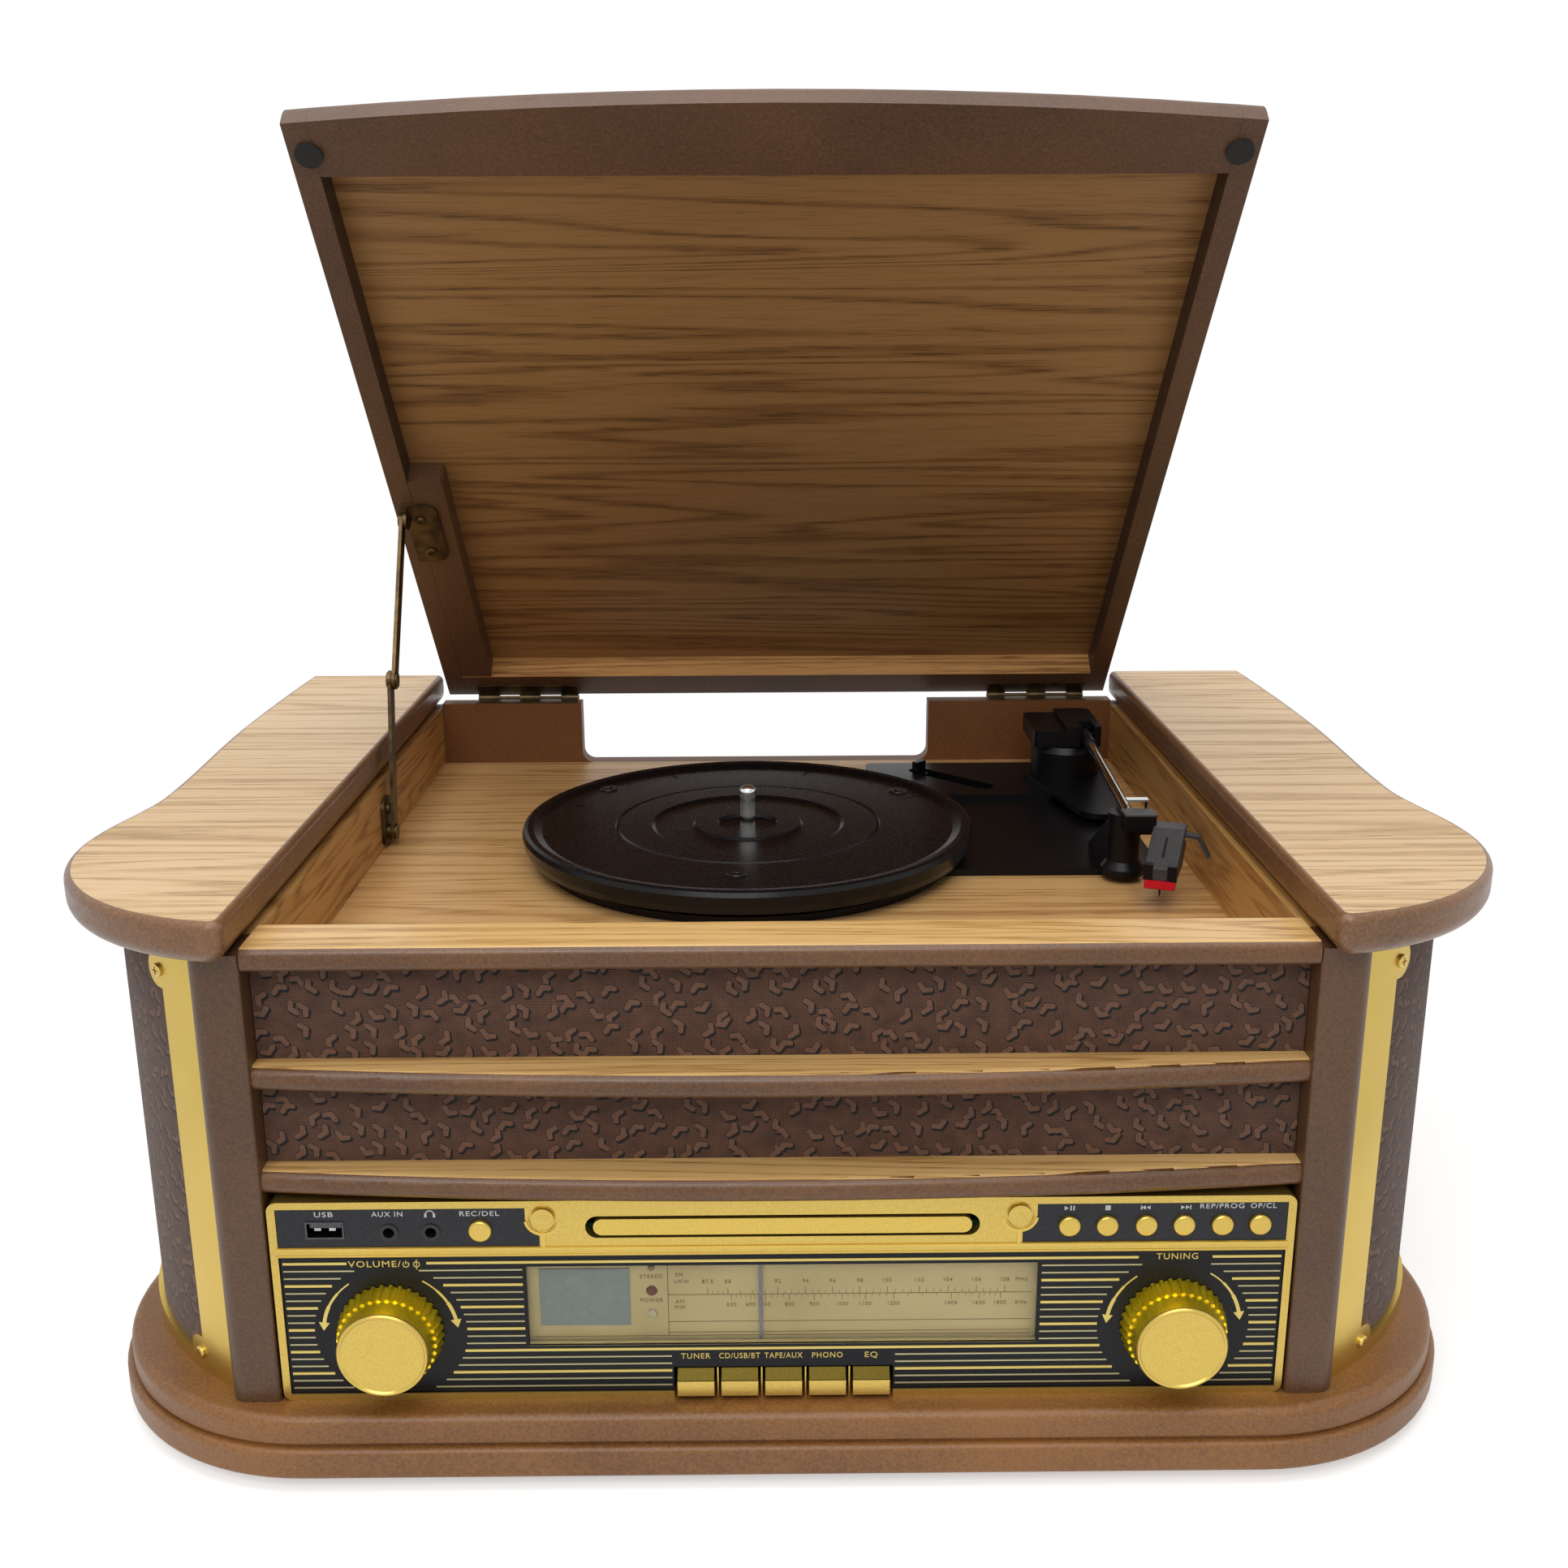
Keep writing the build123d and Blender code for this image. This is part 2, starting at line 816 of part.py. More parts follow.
def front_sockets():
    front = bezel_front + 0.3 - socket_proud
    rear = front + socket_depth
    shell = block(usb_x, (front, rear), usb_z)
    inside = block(
        (usb_x[0] + usb_wall, usb_x[1] - usb_wall),
        (front - 1, rear - 1),
        (usb_z[0] + usb_wall, usb_z[1] - usb_wall),
    )
    tongue_top = sum(usb_z) / 2 + 1.8
    tongue = block(
        (usb_x[0] + 1.2, usb_x[1] - 1.2),
        (front + 1.5, rear),
        (tongue_top - 1.6, tongue_top),
    )
    pieces = [shell - inside + tongue]
    for x in jack_xs:
        body = rod_y(x, jack_z, (front, bezel_front + bezel_depth), jack_radius)
        pieces.append(body - rod_y(x, jack_z, (front - 1, rear), jack_bore))
    return group(pieces)


def push_button(x, radius):
    """A domed button with a flange behind the plate and a stem to its switch."""
    field, plate_rear, rear = bezel_depths()
    front = bezel_front - button_proud
    cap = rod_y(x, button_z, (front, plate_rear + 0.1), radius)
    cap = fillet(cap.edges().sort_by(Axis.Y)[:1], button_dome)
    flange_rear = plate_rear + 0.1 + button_flange_thickness
    flange = rod_y(x, button_z, (plate_rear + 0.1, flange_rear), radius + button_flange)
    stem = rod_y(x, button_z, (flange_rear, rear - 5.3 - button_travel), button_stem_radius)
    return cap + flange + stem


def dial_window():
    field = bezel_front + field_depth
    front = field + pane_setback
    return block(window_x, (front, front + pane_thickness), window_z)


def scale_levels():
    """Front and rear face of the dial plate, and its edges."""
    front = bezel_front + bezel_plate + scale_gap
    x = (window_x[0] - scale_margin, window_x[1] + scale_margin)
    z = (window_z[0] - scale_margin, window_z[1] + scale_margin)
    return (front, front + scale_thickness), x, z


def dial_scale():
    (front, rear), x, z = scale_levels()
    plate_rear = bezel_front + bezel_plate
    plate = block(x, (front, rear), z)
    for low in (x[0], x[1] - 2):
        plate = plate + block((low, low + 2), (plate_rear, front), z)
    lcd = block(lcd_x, (front - lcd_height, front), lcd_z)
    lamps = [rod_y(lamp_x, lamp_z, (front - lcd_height, front), lamp_radius) for lamp_z in lamp_zs]
    return plate + lcd + lamps


def dial_pointer():
    (front, rear), x, z = scale_levels()
    blade_rear = front - pointer_gap
    blade_front = blade_rear - pointer_thickness
    half = pointer_width / 2
    top = z[1] + pointer_gap
    blade = block((pointer_x - half, pointer_x + half), (blade_front, blade_rear), (pointer_bottom, top + 1.2))
    wide = (pointer_x - pointer_carrier / 2, pointer_x + pointer_carrier / 2)
    bridge = block(wide, (blade_front, rear + pointer_gap + 1.2), (top, top + 1.2))
    skirt = block(wide, (rear + pointer_gap, rear + pointer_gap + 1.2), (top - 5, top))
    return blade + bridge + skirt


def knob(x):
    """A turned knob with a toothed skirt, a shaft through the fascia and a dished face."""
    foot = knob_gap
    skirt = foot + knob_flange_height
    face = knob_height
    profile = [
        (0, foot),
        (knob_flange_radius, foot),
        (knob_flange_top_radius, skirt),
        (knob_flange_top_radius - 0.8, skirt),
        (knob_face_radius + 0.3, face - 1.6),
        (knob_face_radius, face - 1.2),
        (knob_face_radius, face - 0.4),
        (knob_face_radius - 0.4, face),
        (knob_face_radius - knob_rim, face),
        (knob_face_radius - knob_rim - 0.4, face - knob_face_recess),
        (0, face - knob_face_recess),
    ]
    field, plate_rear, rear = bezel_depths()
    body = turned(profile, Pos(0, 0, 0))
    tooth = Pos(knob_flange_radius + 0.2, 0, (foot + skirt) / 2)
    cutter = tooth * Rot(0, 0, 45) * Box(knob_tooth_depth * 1.8, knob_tooth_depth * 1.8, knob_flange_height + 0.2)
    cutters = []
    for i in range(knob_teeth):
        cutters.append(Rot(0, 0, 360 / knob_teeth * i) * cutter)
    body = body - cutters
    body = Pos(x, field, knob_z) * Rot(90, 0, 0) * body
    control_front = rear - 6
    return body + rod_y(x, knob_z, (field - knob_gap - 2, control_front - 0.3), shaft_radius)


def selector_key(x):
    """One wedge-shaped key: upright lower face, ridge and sloping upper face."""
    profile = [
        (key_front + 0.4, key_bottom),
        (key_front, key_bottom + 0.5),
        (key_front, key_ridge),
        (key_shoulder, key_top),
        (key_rear, key_top),
        (key_rear, key_bottom),
    ]
    return prism_x(profile, (x - key_width / 2, x + key_width / 2))


def cd_tray():
    bar_z = (slot_bottom + slot_top) / 2
    bar_rear = bezel_front + 3
    bar = slot_shape(tray_bar_half_width, tray_bar_height, bar_z, (bezel_front - 0.2, bar_rear))
    half = tray_thickness / 2
    tray = block((-tray_half_width, tray_half_width), (bar_rear, bar_rear + tray_length), (bar_z - half, bar_z + half))
    tray = tray - post(0, bar_rear + tray_length / 2, (bar_z + half - disc_recess, bar_z + 9), disc_radius)
    spindle_way = block((-9, 9), (bar_rear + tray_length / 2, bar_rear + tray_length + 1), (bar_z - 9, bar_z + 9))
    return bar + tray - spindle_way


def electronics():
    """Circuit board across the back of the fascia, disc housing, controls and transformer."""
    field, plate_rear, rear = bezel_depths()
    board = block(
        (-bezel_half_width, bezel_half_width),
        (rear, rear + board_thickness),
        (plinth_top + bezel_wall, bezel_top),
    )
    board = board - block((-housing_half_width, housing_half_width), (rear - 1, rear + 3), (housing_bottom, bezel_top + 1))
    for x in transport_xs + (record_button_x,):
        half = switch_width / 2
        board = board + block((x - half, x + half), (rear - 5, rear), (button_z - half, button_z + half))
    for x in knob_xs:
        board = board + rod_y(x, knob_z, (rear - 6, rear), control_radius)
    outer = block((-housing_half_width, housing_half_width), (plate_rear, plate_rear + housing_length), (housing_bottom, housing_top))
    inner_half = housing_half_width - housing_wall
    inner = block(
        (-inner_half, inner_half),
        (plate_rear - 1, plate_rear + housing_length - housing_wall),
        (housing_bottom + housing_wall, housing_top - housing_wall),
    )
    housing = outer - inner
    runner_top = (slot_bottom + slot_top) / 2 - tray_thickness / 2 - 0.3
    for side in (-1, 1):
        near = side * (tray_half_width - 2 * runner_half_width)
        far = side * inner_half
        runner = block(
            (min(near, far), max(near, far)),
            (plate_rear + 2, plate_rear + housing_length - housing_wall),
            (housing_bottom + housing_wall, runner_top),
        )
        housing = housing + runner
    transformer = block(transformer_x, transformer_y, (plinth_top, plinth_top + transformer_height))
    return group([board, housing, transformer])


# Turntable

def mechanism_plate():
    low_z = (deck_top, deck_top + plate_low_height)
    high_z = (deck_top, deck_top + plate_high_height)
    apron = post(platter_x, platter_y, low_z, plate_apron_radius)
    low = block((plate_left, plate_right), (plate_front, plate_rear), low_z)
    low = fillet(low.edges().filter_by(Axis.Z), 3.0)
    high = block((plate_left, plate_right), (plate_step_y, plate_rear), high_z)
    high = fillet(high.edges().filter_by(Axis.Z).group_by(Axis.Y)[-1], 3.0)
    plate = apron + low + high
    centre = ((selector_start[0] + selector_end[0]) / 2, (selector_start[1] + selector_end[1]) / 2)
    run = math.hypot(selector_end[0] - selector_start[0], selector_end[1] - selector_start[1])
    angle = math.degrees(math.atan2(selector_end[1] - selector_start[1], selector_end[0] - selector_start[0]))
    slot = SlotCenterToCenter(run, selector_slot_width)
    floor = deck_top + plate_high_height - selector_slot_depth
    slot = Pos(centre[0], centre[1], floor) * Rot(0, 0, angle) * extrude(slot, selector_slot_depth + 2)
    plate = plate - slot
    boss_top = platter_skirt_bottom + 0.4
    plate = plate + post(platter_x, platter_y, (deck_top, boss_top - 0.3), hub_radius)
    plate = plate - post(motor_x, motor_y, (0, deck_top + 20), motor_shaft_radius + 4)
    return plate - post(platter_x, platter_y, (0, deck_top + 20), spindle_radius)


def platter():
    """A moulded platter: raised rim, stepped rings, centre well, hub and belt rim below."""
    top = platter_inset_top
    floor = top - platter_wall
    skirt = platter_skirt_bottom
    bottom = platter_skirt_bottom + 0.4
    profile = [
        (spindle_radius + spindle_fit, bottom),
        (hub_radius, bottom),
        (hub_radius, floor - 1),
        (belt_rim_radius - 3, floor),
        (belt_rim_radius - 3, skirt),
        (belt_rim_radius, skirt),
        (belt_rim_radius, floor),
        (platter_radius - platter_wall - 1.5, floor),
        (platter_radius - platter_wall - 2.0, skirt),
        (platter_radius - 2.2, skirt),
        (platter_radius - 0.8, skirt + 3),
        (platter_radius, platter_rim_top - 2.4),
        (platter_radius - 0.9, platter_rim_top - 0.6),
        (platter_radius - 2.4, platter_rim_top),
        (platter_radius - platter_lip, platter_rim_top - 0.3),
        (platter_radius - platter_lip - 3.5, top),
        (groove_radius + 0.8, top),
        (groove_radius, top - 0.7),
        (groove_radius - 0.8, top),
        (ring_radius, top),
        (ring_radius - 1.6, top - 1.0),
        (label_radius + 1.2, top - 1.0),
        (label_radius, top),
        (centre_well_radius, top),
        (centre_well_radius - 1.2, top - 1.4),
        (spindle_radius + spindle_fit, top - 1.4),
    ]
    return turned(profile, Pos(platter_x, platter_y, 0))


def spindle():
    shaft = post(platter_x, platter_y, (deck_top, spindle_top), spindle_radius)
    return fillet(shaft.edges().sort_by(Axis.Z)[-1:], spindle_radius - 0.6)


def motor():
    top = deck_top - deck_thickness
    body = post(motor_x, motor_y, (top - motor_height, top), motor_radius)
    ears = block((motor_x - 26, motor_x + 26), (motor_y - 5, motor_y + 5), (top - 2, top))
    return body + ears - post(motor_x, motor_y, (top - 12, top + 1), motor_shaft_radius + 0.05)


def motor_pulley():
    base = platter_skirt_bottom - 2
    shaft = post(motor_x, motor_y, (deck_top - deck_thickness - 10, base), motor_shaft_radius)
    profile = [
        (0, 0),
        (pulley_radius + 0.8, 0),
        (pulley_radius + 0.8, 1),
        (pulley_radius, 1.6),
        (pulley_radius, pulley_height - 1.6),
        (pulley_radius + 0.8, pulley_height - 1),
        (pulley_radius + 0.8, pulley_height),
        (0, pulley_height),
    ]
    return shaft + turned(profile, Pos(motor_x, motor_y, base))


def speed_selector():
    x, y = selector_start
    floor = deck_top + plate_high_height - selector_slot_depth
    angle = math.degrees(math.atan2(selector_end[1] - y, selector_end[0] - x))
    shoe = Cylinder(selector_slot_width / 2 - 0.4, 2.4)
    lever = Pos(0, 0, 1.2 + selector_lever_height / 2) * Box(3, 7, selector_lever_height)
    return Pos(x, y, floor + 0.1 + 1.2) * Rot(0, 0, angle) * (shoe + lever)


def tonearm_turret():
    """The fixed pedestal: a teardrop foot and a round turret."""
    base = deck_top + plate_high_height
    heel = Pos(turret_x, turret_y) * Circle(turret_foot_radius)
    toe = Pos(*turret_toe) * Circle(turret_toe_radius)
    foot = make_hull(heel.edges() + toe.edges())
    foot = extrude(Pos(0, 0, base) * foot, turret_foot_height)
    foot = foot & block((0, half_width), (0, rear_y), (base, base + turret_foot_height))
    profile = [
        (0, 0),
        (turret_radius, 0),
        (turret_radius, turret_height - 3),
        (turret_radius - 1.5, turret_height),
        (0, turret_height),
    ]
    return foot + turned(profile, Pos(turret_x, turret_y, base))


def carriage_z():
    bottom = deck_top + plate_high_height + turret_height + carriage_gap
    return (bottom, bottom + carriage_height)


def tonearm_carriage():
    """The swinging block on the turret, with a yoke for the arm and a stepped top."""
    low, high = carriage_z()
    body = block(carriage_x, carriage_y, (low, high - 2.0))
    middle = sum(carriage_x) / 2
    raised = block((middle - 1, carriage_x[1]), carriage_y, (low, high))
    body = body + raised
    body = fillet(body.edges().filter_by(Axis.Z).group_by(Axis.X)[0], carriage_round)
    body = fillet(body.edges().filter_by(Axis.Z).group_by(Axis.X)[-1], carriage_round)
    x, y, z = arm_start
    gap = (x - arm_yoke_half_width, x + arm_yoke_half_width)
    body = body - block(gap, (carriage_y[0] - 1, y + 5), (low - 1, high + 1))
    reach = arm_pivot_reach + 0.5
    return body - rod_x(y, z, (x - reach, x + reach), arm_pivot_radius + arm_pivot_fit)


def tonearm_tube():
    """The arm: plated tube, black sleeve at its pivot and a connector at its front."""
    start = Vector(*arm_start)
    way = (Vector(*arm_end) - start).normalized()
    tube = rod_between(arm_start, arm_end, arm_radius)
    sleeve = rod_between(start - way * 2, start + way * arm_sleeve_length, arm_sleeve_radius)
    x, y, z = arm_start
    pin = rod_x(y, z, (x - arm_pivot_reach, x + arm_pivot_reach), arm_pivot_radius)
    return tube + sleeve + pin + block(connector_x, connector_y, connector_z)


def shell_place():
    return Pos(*shell_origin) * Rot(0, 0, -shell_turn)


def headshell():
    """Angled headshell with a flat back, a sloping top and a finger lift on its right."""
    front = -(shell_flat + shell_slope_length)
    under = -(shell_drop + shell_nose_height)
    profile = [
        (0, 0),
        (-shell_flat, 0),
        (front, -shell_drop),
        (front, under),
        (-shell_flat - 3, under),
        (-shell_flat - 3, -7),
        (0, -7),
    ]
    half = shell_width / 2
    body = prism_x(profile, (-half, half))
    cheek = (-shell_flat - 6, front + 5)
    for side in (-1, 1):
        recess = block(
            (min(side * half, side * (half - 1)), max(side * half, side * (half - 1))),
            (cheek[1], cheek[0]),
            (under - 1, -shell_drop - 1.5),
        )
        body = body - recess
    root = half - 0.2
    tip = half + finger_lift_reach
    bend = half + finger_lift_reach * 0.55
    strip = [(root, -2.0), (bend, -2.8), (tip, -2.8 - finger_lift_drop), (tip - 1.3, -2.8 - finger_lift_drop),
             (bend - 0.8, -4.0), (root, -3.2)]
    corners = [(x, -4.0, z) for x, z in strip]
    lift = extrude(make_face(Polyline(corners, close=True)), finger_lift_width, dir=(0, -1, 0))
    return shell_place() * (body + lift) - block(connector_x, connector_y, connector_z)


def stylus():
    """The red stylus carrier under the nose, with its needle."""
    front = -(shell_flat + shell_slope_length)
    top = -(shell_drop + shell_nose_height)
    half = shell_width / 2 - 1.6
    profile = [
        (front - 0.6, top),
        (front - 0.6, top - stylus_height + 1.0),
        (front + 1.0, top - stylus_height),
        (front + 9.0, top - 1.5),
        (front + 9.0, top),
    ]
    body = prism_x(profile, (-half, half))
    needle_y = front + 2.0
    needle = post(0, needle_y, (top - stylus_height - needle_length + 0.5, top - 2), needle_radius)
    return shell_place() * (body + needle)


def arm_rest():
    """Post on a flared foot, with a web to the rear and a lug for the clip's pin."""
    base = deck_top + plate_low_height
    profile = [
        (0, 0),
        (rest_foot_radius, 0),
        (rest_foot_radius, 3),
        (rest_radius, 6),
        (rest_radius, rest_top - base),
        (0, rest_top - base),
    ]
    rest = turned(profile, Pos(rest_x, rest_y, base))
    web = [
        (rest_y, base),
        (rest_web_end_y, base),
        (rest_y + 4, rest_top - 5),
        (rest_y, rest_top - 5),
    ]
    rest = rest + prism_x(web, (rest_x - rest_radius, rest_x - rest_radius + 2.4))
    y = (rest_y - clip_width / 2 - 2.0, rest_y - clip_width / 2 - 0.3)
    x = clip_pin_x()
    lug = block((rest_x, x + 1.8), y, (clip_pin_z - 2, clip_pin_z + 1.8))
    pin = rod_y(x, clip_pin_z, (y[1], rest_y + clip_width / 2), clip_pin_radius)
    return rest + lug + pin


def clip_pin_x():
    return rest_x + rest_radius + 0.3 + 1.8


def rest_clip():
    """A thin strip that hooks over the resting arm."""
    x = clip_pin_x()
    y = (rest_y - clip_width / 2, rest_y + clip_width / 2)
    top = arm_end[2] + arm_radius + clip_clearance
    half = clip_thickness / 2
    leg = block((x - half, x + half), y, (clip_pin_z, top + clip_thickness))
    hook = block((arm_end[0] - 1, x + half), y, (top, top + clip_thickness))
    eye = rod_y(x, clip_pin_z, y, 1.7)
    return leg + hook + eye - rod_y(x, clip_pin_z, (y[0] - 1, y[1] + 1), clip_pin_radius + 0.05)


# Lid

def opened(shape):
    """Turn a lid piece from its closed place to the open one."""
    return Pos(0, hinge_y, hinge_z) * Rot(-lid_open_angle, 0, 0) * Pos(0, -hinge_y, -hinge_z) * shape


def lid_body():
    """The whole closed lid as one board with a bowed, rounded front."""
    front = rear_y - lid_length
    edges = [
        Line((-lid_half_width, front), (-lid_half_width, rear_y)),
        Line((-lid_half_width, rear_y), (lid_half_width, rear_y)),
        Line((lid_half_width, rear_y), (lid_half_width, front)),
        ThreePointArc((lid_half_width, front), (0, front - lid_bow), (-lid_half_width, front)),
    ]
    thickness = lid_rail_height + lid_panel_thickness
    body = extrude(Pos(0, 0, lid_underside) * make_face(edges), thickness)
    top = [edge for edge in body.edges() if edge.geom_type == GeomType.CIRCLE]
    return fillet(ShapeList(top).sort_by(Axis.Z)[-1:], lid_front_round)


def lid_panel():
    split = lid_underside + lid_rail_height
    return opened(lid_body() & block((-half_width, half_width), (-depth, depth), (split, split + 50)))


def lid_rails():
    split = lid_underside + lid_rail_height
    inner = lid_half_width - lid_side_rail
    body = lid_body() & block((-half_width, half_width), (-depth, depth), (lid_underside - 1, split))
    pieces = []
    for side in (-1, 1):
        reach = (min(side * inner, side * half_width), max(side * inner, side * half_width))
        pieces.append(body & block(reach, (-depth, depth), (0, split)))
    pieces.append(body & block((-inner, inner), (-depth, rear_y - lid_front_rail_start), (0, split)))
    pieces.append(body & block((-inner, inner), (rear_y - lid_rear_rail[1], depth), (0, split)))
    blocking = block(stay_block_x, (rear_y - stay_block_s[1], rear_y - stay_block_s[0]), (lid_underside, split))
    corner = blocking.edges().filter_by(Axis.Z).sort_by(Axis.Y)[:2].sort_by(Axis.X)[-1:]
    pieces.append(fillet(corner, stay_block_round))
    return opened(group(pieces))


def lid_bumpers():
    z = (rail_top + bumper_gap, lid_underside)
    bumpers = [post(x, rear_y - bumper_s, z, bumper_radius) for x in (-bumper_x, bumper_x)]
    return opened(group(bumpers))


# Lid hinges

def knuckle_spans(span, first):
    """Every second knuckle of a hinge, starting with the first or second."""
    pitch = (span[1] - span[0]) / hinge_knuckles
    half_gap = hinge_knuckle_gap / 2
    chosen = []
    for i in range(first, hinge_knuckles, 2):
        chosen.append((span[0] + i * pitch + half_gap, span[0] + (i + 1) * pitch - half_gap))
    return chosen


def hinge_leaf_shape(span, first, leaf_z):
    """A leaf with its knuckles, solid where the pin runs."""
    near = hinge_y - hinge_knuckle_radius - 0.2
    leaf = block(span, (near - hinge_leaf_depth, near), leaf_z)
    for low, high in knuckle_spans(span, first):
        leaf = leaf + block((low, high), (near - 0.5, hinge_y), leaf_z)
        leaf = leaf + rod_x(hinge_y, hinge_z, (low, high), hinge_knuckle_radius)
    return leaf


def wall_hinge_leaves():
    leaves = []
    for span in hinge_spans:
        leaf = hinge_leaf_shape(span, 0, (back_top, back_top + hinge_leaf))
        leaves.append(leaf + rod_x(hinge_y, hinge_z, span, hinge_pin_radius))
    return group(leaves)


def lid_hinge_leaves():
    leaves = []
    for span in hinge_spans:
        leaf = hinge_leaf_shape(span, 1, (lid_underside - hinge_leaf, lid_underside))
        bore = rod_x(hinge_y, hinge_z, (span[0] - 1, span[1] + 1), hinge_pin_radius + hinge_pin_fit)
        leaves.append(leaf - bore)
    return opened(group(leaves))


# Folding stay

def lid_pivot_open():
    """Where the stay's lid pivot stands in (y, z) with the lid open."""
    y = rear_y - stay_lid_pivot_s - hinge_y
    z = lid_underside - stay_lid_pivot_drop - hinge_z
    turn = math.radians(-lid_open_angle)
    return (
        hinge_y + y * math.cos(turn) - z * math.sin(turn),
        hinge_z + y * math.sin(turn) + z * math.cos(turn),
    )


def elbow_open():
    """The elbow in (y, z): where both arm lengths meet, on the front side."""
    ay, az = stay_wall_pivot
    by, bz = lid_pivot_open()
    span = math.hypot(by - ay, bz - az)
    along = (stay_lower_length ** 2 - stay_upper_length ** 2 + span ** 2) / (2 * span)
    aside = math.sqrt(max(stay_lower_length ** 2 - along ** 2, 0))
    uy, uz = (by - ay) / span, (bz - az) / span
    return (ay + along * uy - aside * uz, az + along * uz + aside * uy)


def stay_arm(start, end, x, drilled, head_side):
    """A flat arm with round eyes: one drilled, the other with its half of the elbow rivet."""
    length = math.hypot(end[0] - start[0], end[1] - start[1])
    plane = Plane(
        origin=(x, start[0], start[1]),
        x_dir=(0, end[0] - start[0], end[1] - start[1]),
        z_dir=(1, 0, 0),
    )
    strip = Pos(length / 2, 0) * SlotCenterToCenter(length, 2 * stay_half_width)
    eye = Pos(length, 0) * Circle(stay_eye_radius)
    bore = Circle(stay_pin_radius + stay_pin_fit)
    arm = extrude(plane * (strip + eye - bore), stay_thickness)
    face = x + stay_thickness if head_side > 0 else x - stay_head_height
    return arm + rod_x(end[0], end[1], (face, face + stay_head_height), stay_head_radius)


def stay_upper_x():
    return stay_lower_x + stay_thickness + stay_gap


def stay_lower_arm():
    return stay_arm(stay_wall_pivot, elbow_open(), stay_lower_x, True, -1)


def stay_upper_arm():
    return stay_arm(lid_pivot_open(), elbow_open(), stay_upper_x(), True, 1)


def stay_wall_bracket():
    y, z = stay_wall_pivot
    inner = -well_half_width + stay_wall_plate
    plate = block(
        (-well_half_width, inner),
        (y - stay_wall_plate_half, y + stay_wall_plate_half),
        (z - 5.0, stay_wall_plate_top),
    )
    plate = fillet(plate.edges().filter_by(Axis.X), 4.0)
    boss = rod_x(y, z, (inner, stay_lower_x - stay_gap), stay_head_radius)
    pin_end = stay_lower_x + stay_thickness + 0.1
    pin = rod_x(y, z, (inner, pin_end), stay_pin_radius)
    head = rod_x(y, z, (pin_end, pin_end + stay_head_height), stay_head_radius)
    screw = screw_head(Plane(origin=(inner, y, stay_wall_plate_top - 5), x_dir=(0, 0, 1), z_dir=(1, 0, 0)))
    return plate + boss + pin + head + screw


def stay_lid_bracket():
    """Plate under the lid block with a flange that carries the upper arm's pin."""
    upper = stay_upper_x()
    flange_x = (upper + stay_thickness + stay_gap, upper + stay_thickness + stay_gap + lid_bracket_thickness)
    y = (rear_y - lid_bracket_s[1], rear_y - lid_bracket_s[0])
    plate = block((flange_x[0], lid_bracket_inner_x), y, (lid_underside - lid_bracket_thickness, lid_underside))
    plate = fillet(plate.edges().filter_by(Axis.Z).group_by(Axis.X)[-1], 6.0)
    py = rear_y - stay_lid_pivot_s
    pz = lid_underside - stay_lid_pivot_drop
    flange = block(flange_x, (py - 6, py + 6), (pz, lid_underside)) + rod_x(py, pz, flange_x, 4.5)
    pin_end = upper - 0.1
    pin = rod_x(py, pz, (pin_end, flange_x[1]), stay_pin_radius)
    head = rod_x(py, pz, (pin_end - stay_head_height, pin_end), stay_head_radius)
    bracket = plate + flange + pin + head
    for x, s in lid_bracket_screws:
        place = Plane(origin=(x, rear_y - s, lid_underside - lid_bracket_thickness), z_dir=(0, 0, -1))
        bracket = bracket + screw_head(place)
    return opened(bracket)


# Mains lead gland on the back

def cord_gland():
    flange = rod_y(gland_x, gland_z, (rear_y, rear_y + 2), gland_flange_radius)
    body = rod_y(gland_x, gland_z, (rear_y, rear_y + gland_length), gland_radius)
    return flange + body - rod_y(gland_x, gland_z, (rear_y + 1, rear_y + gland_length + 1), 3.2)


# Writing one STEP file for each node

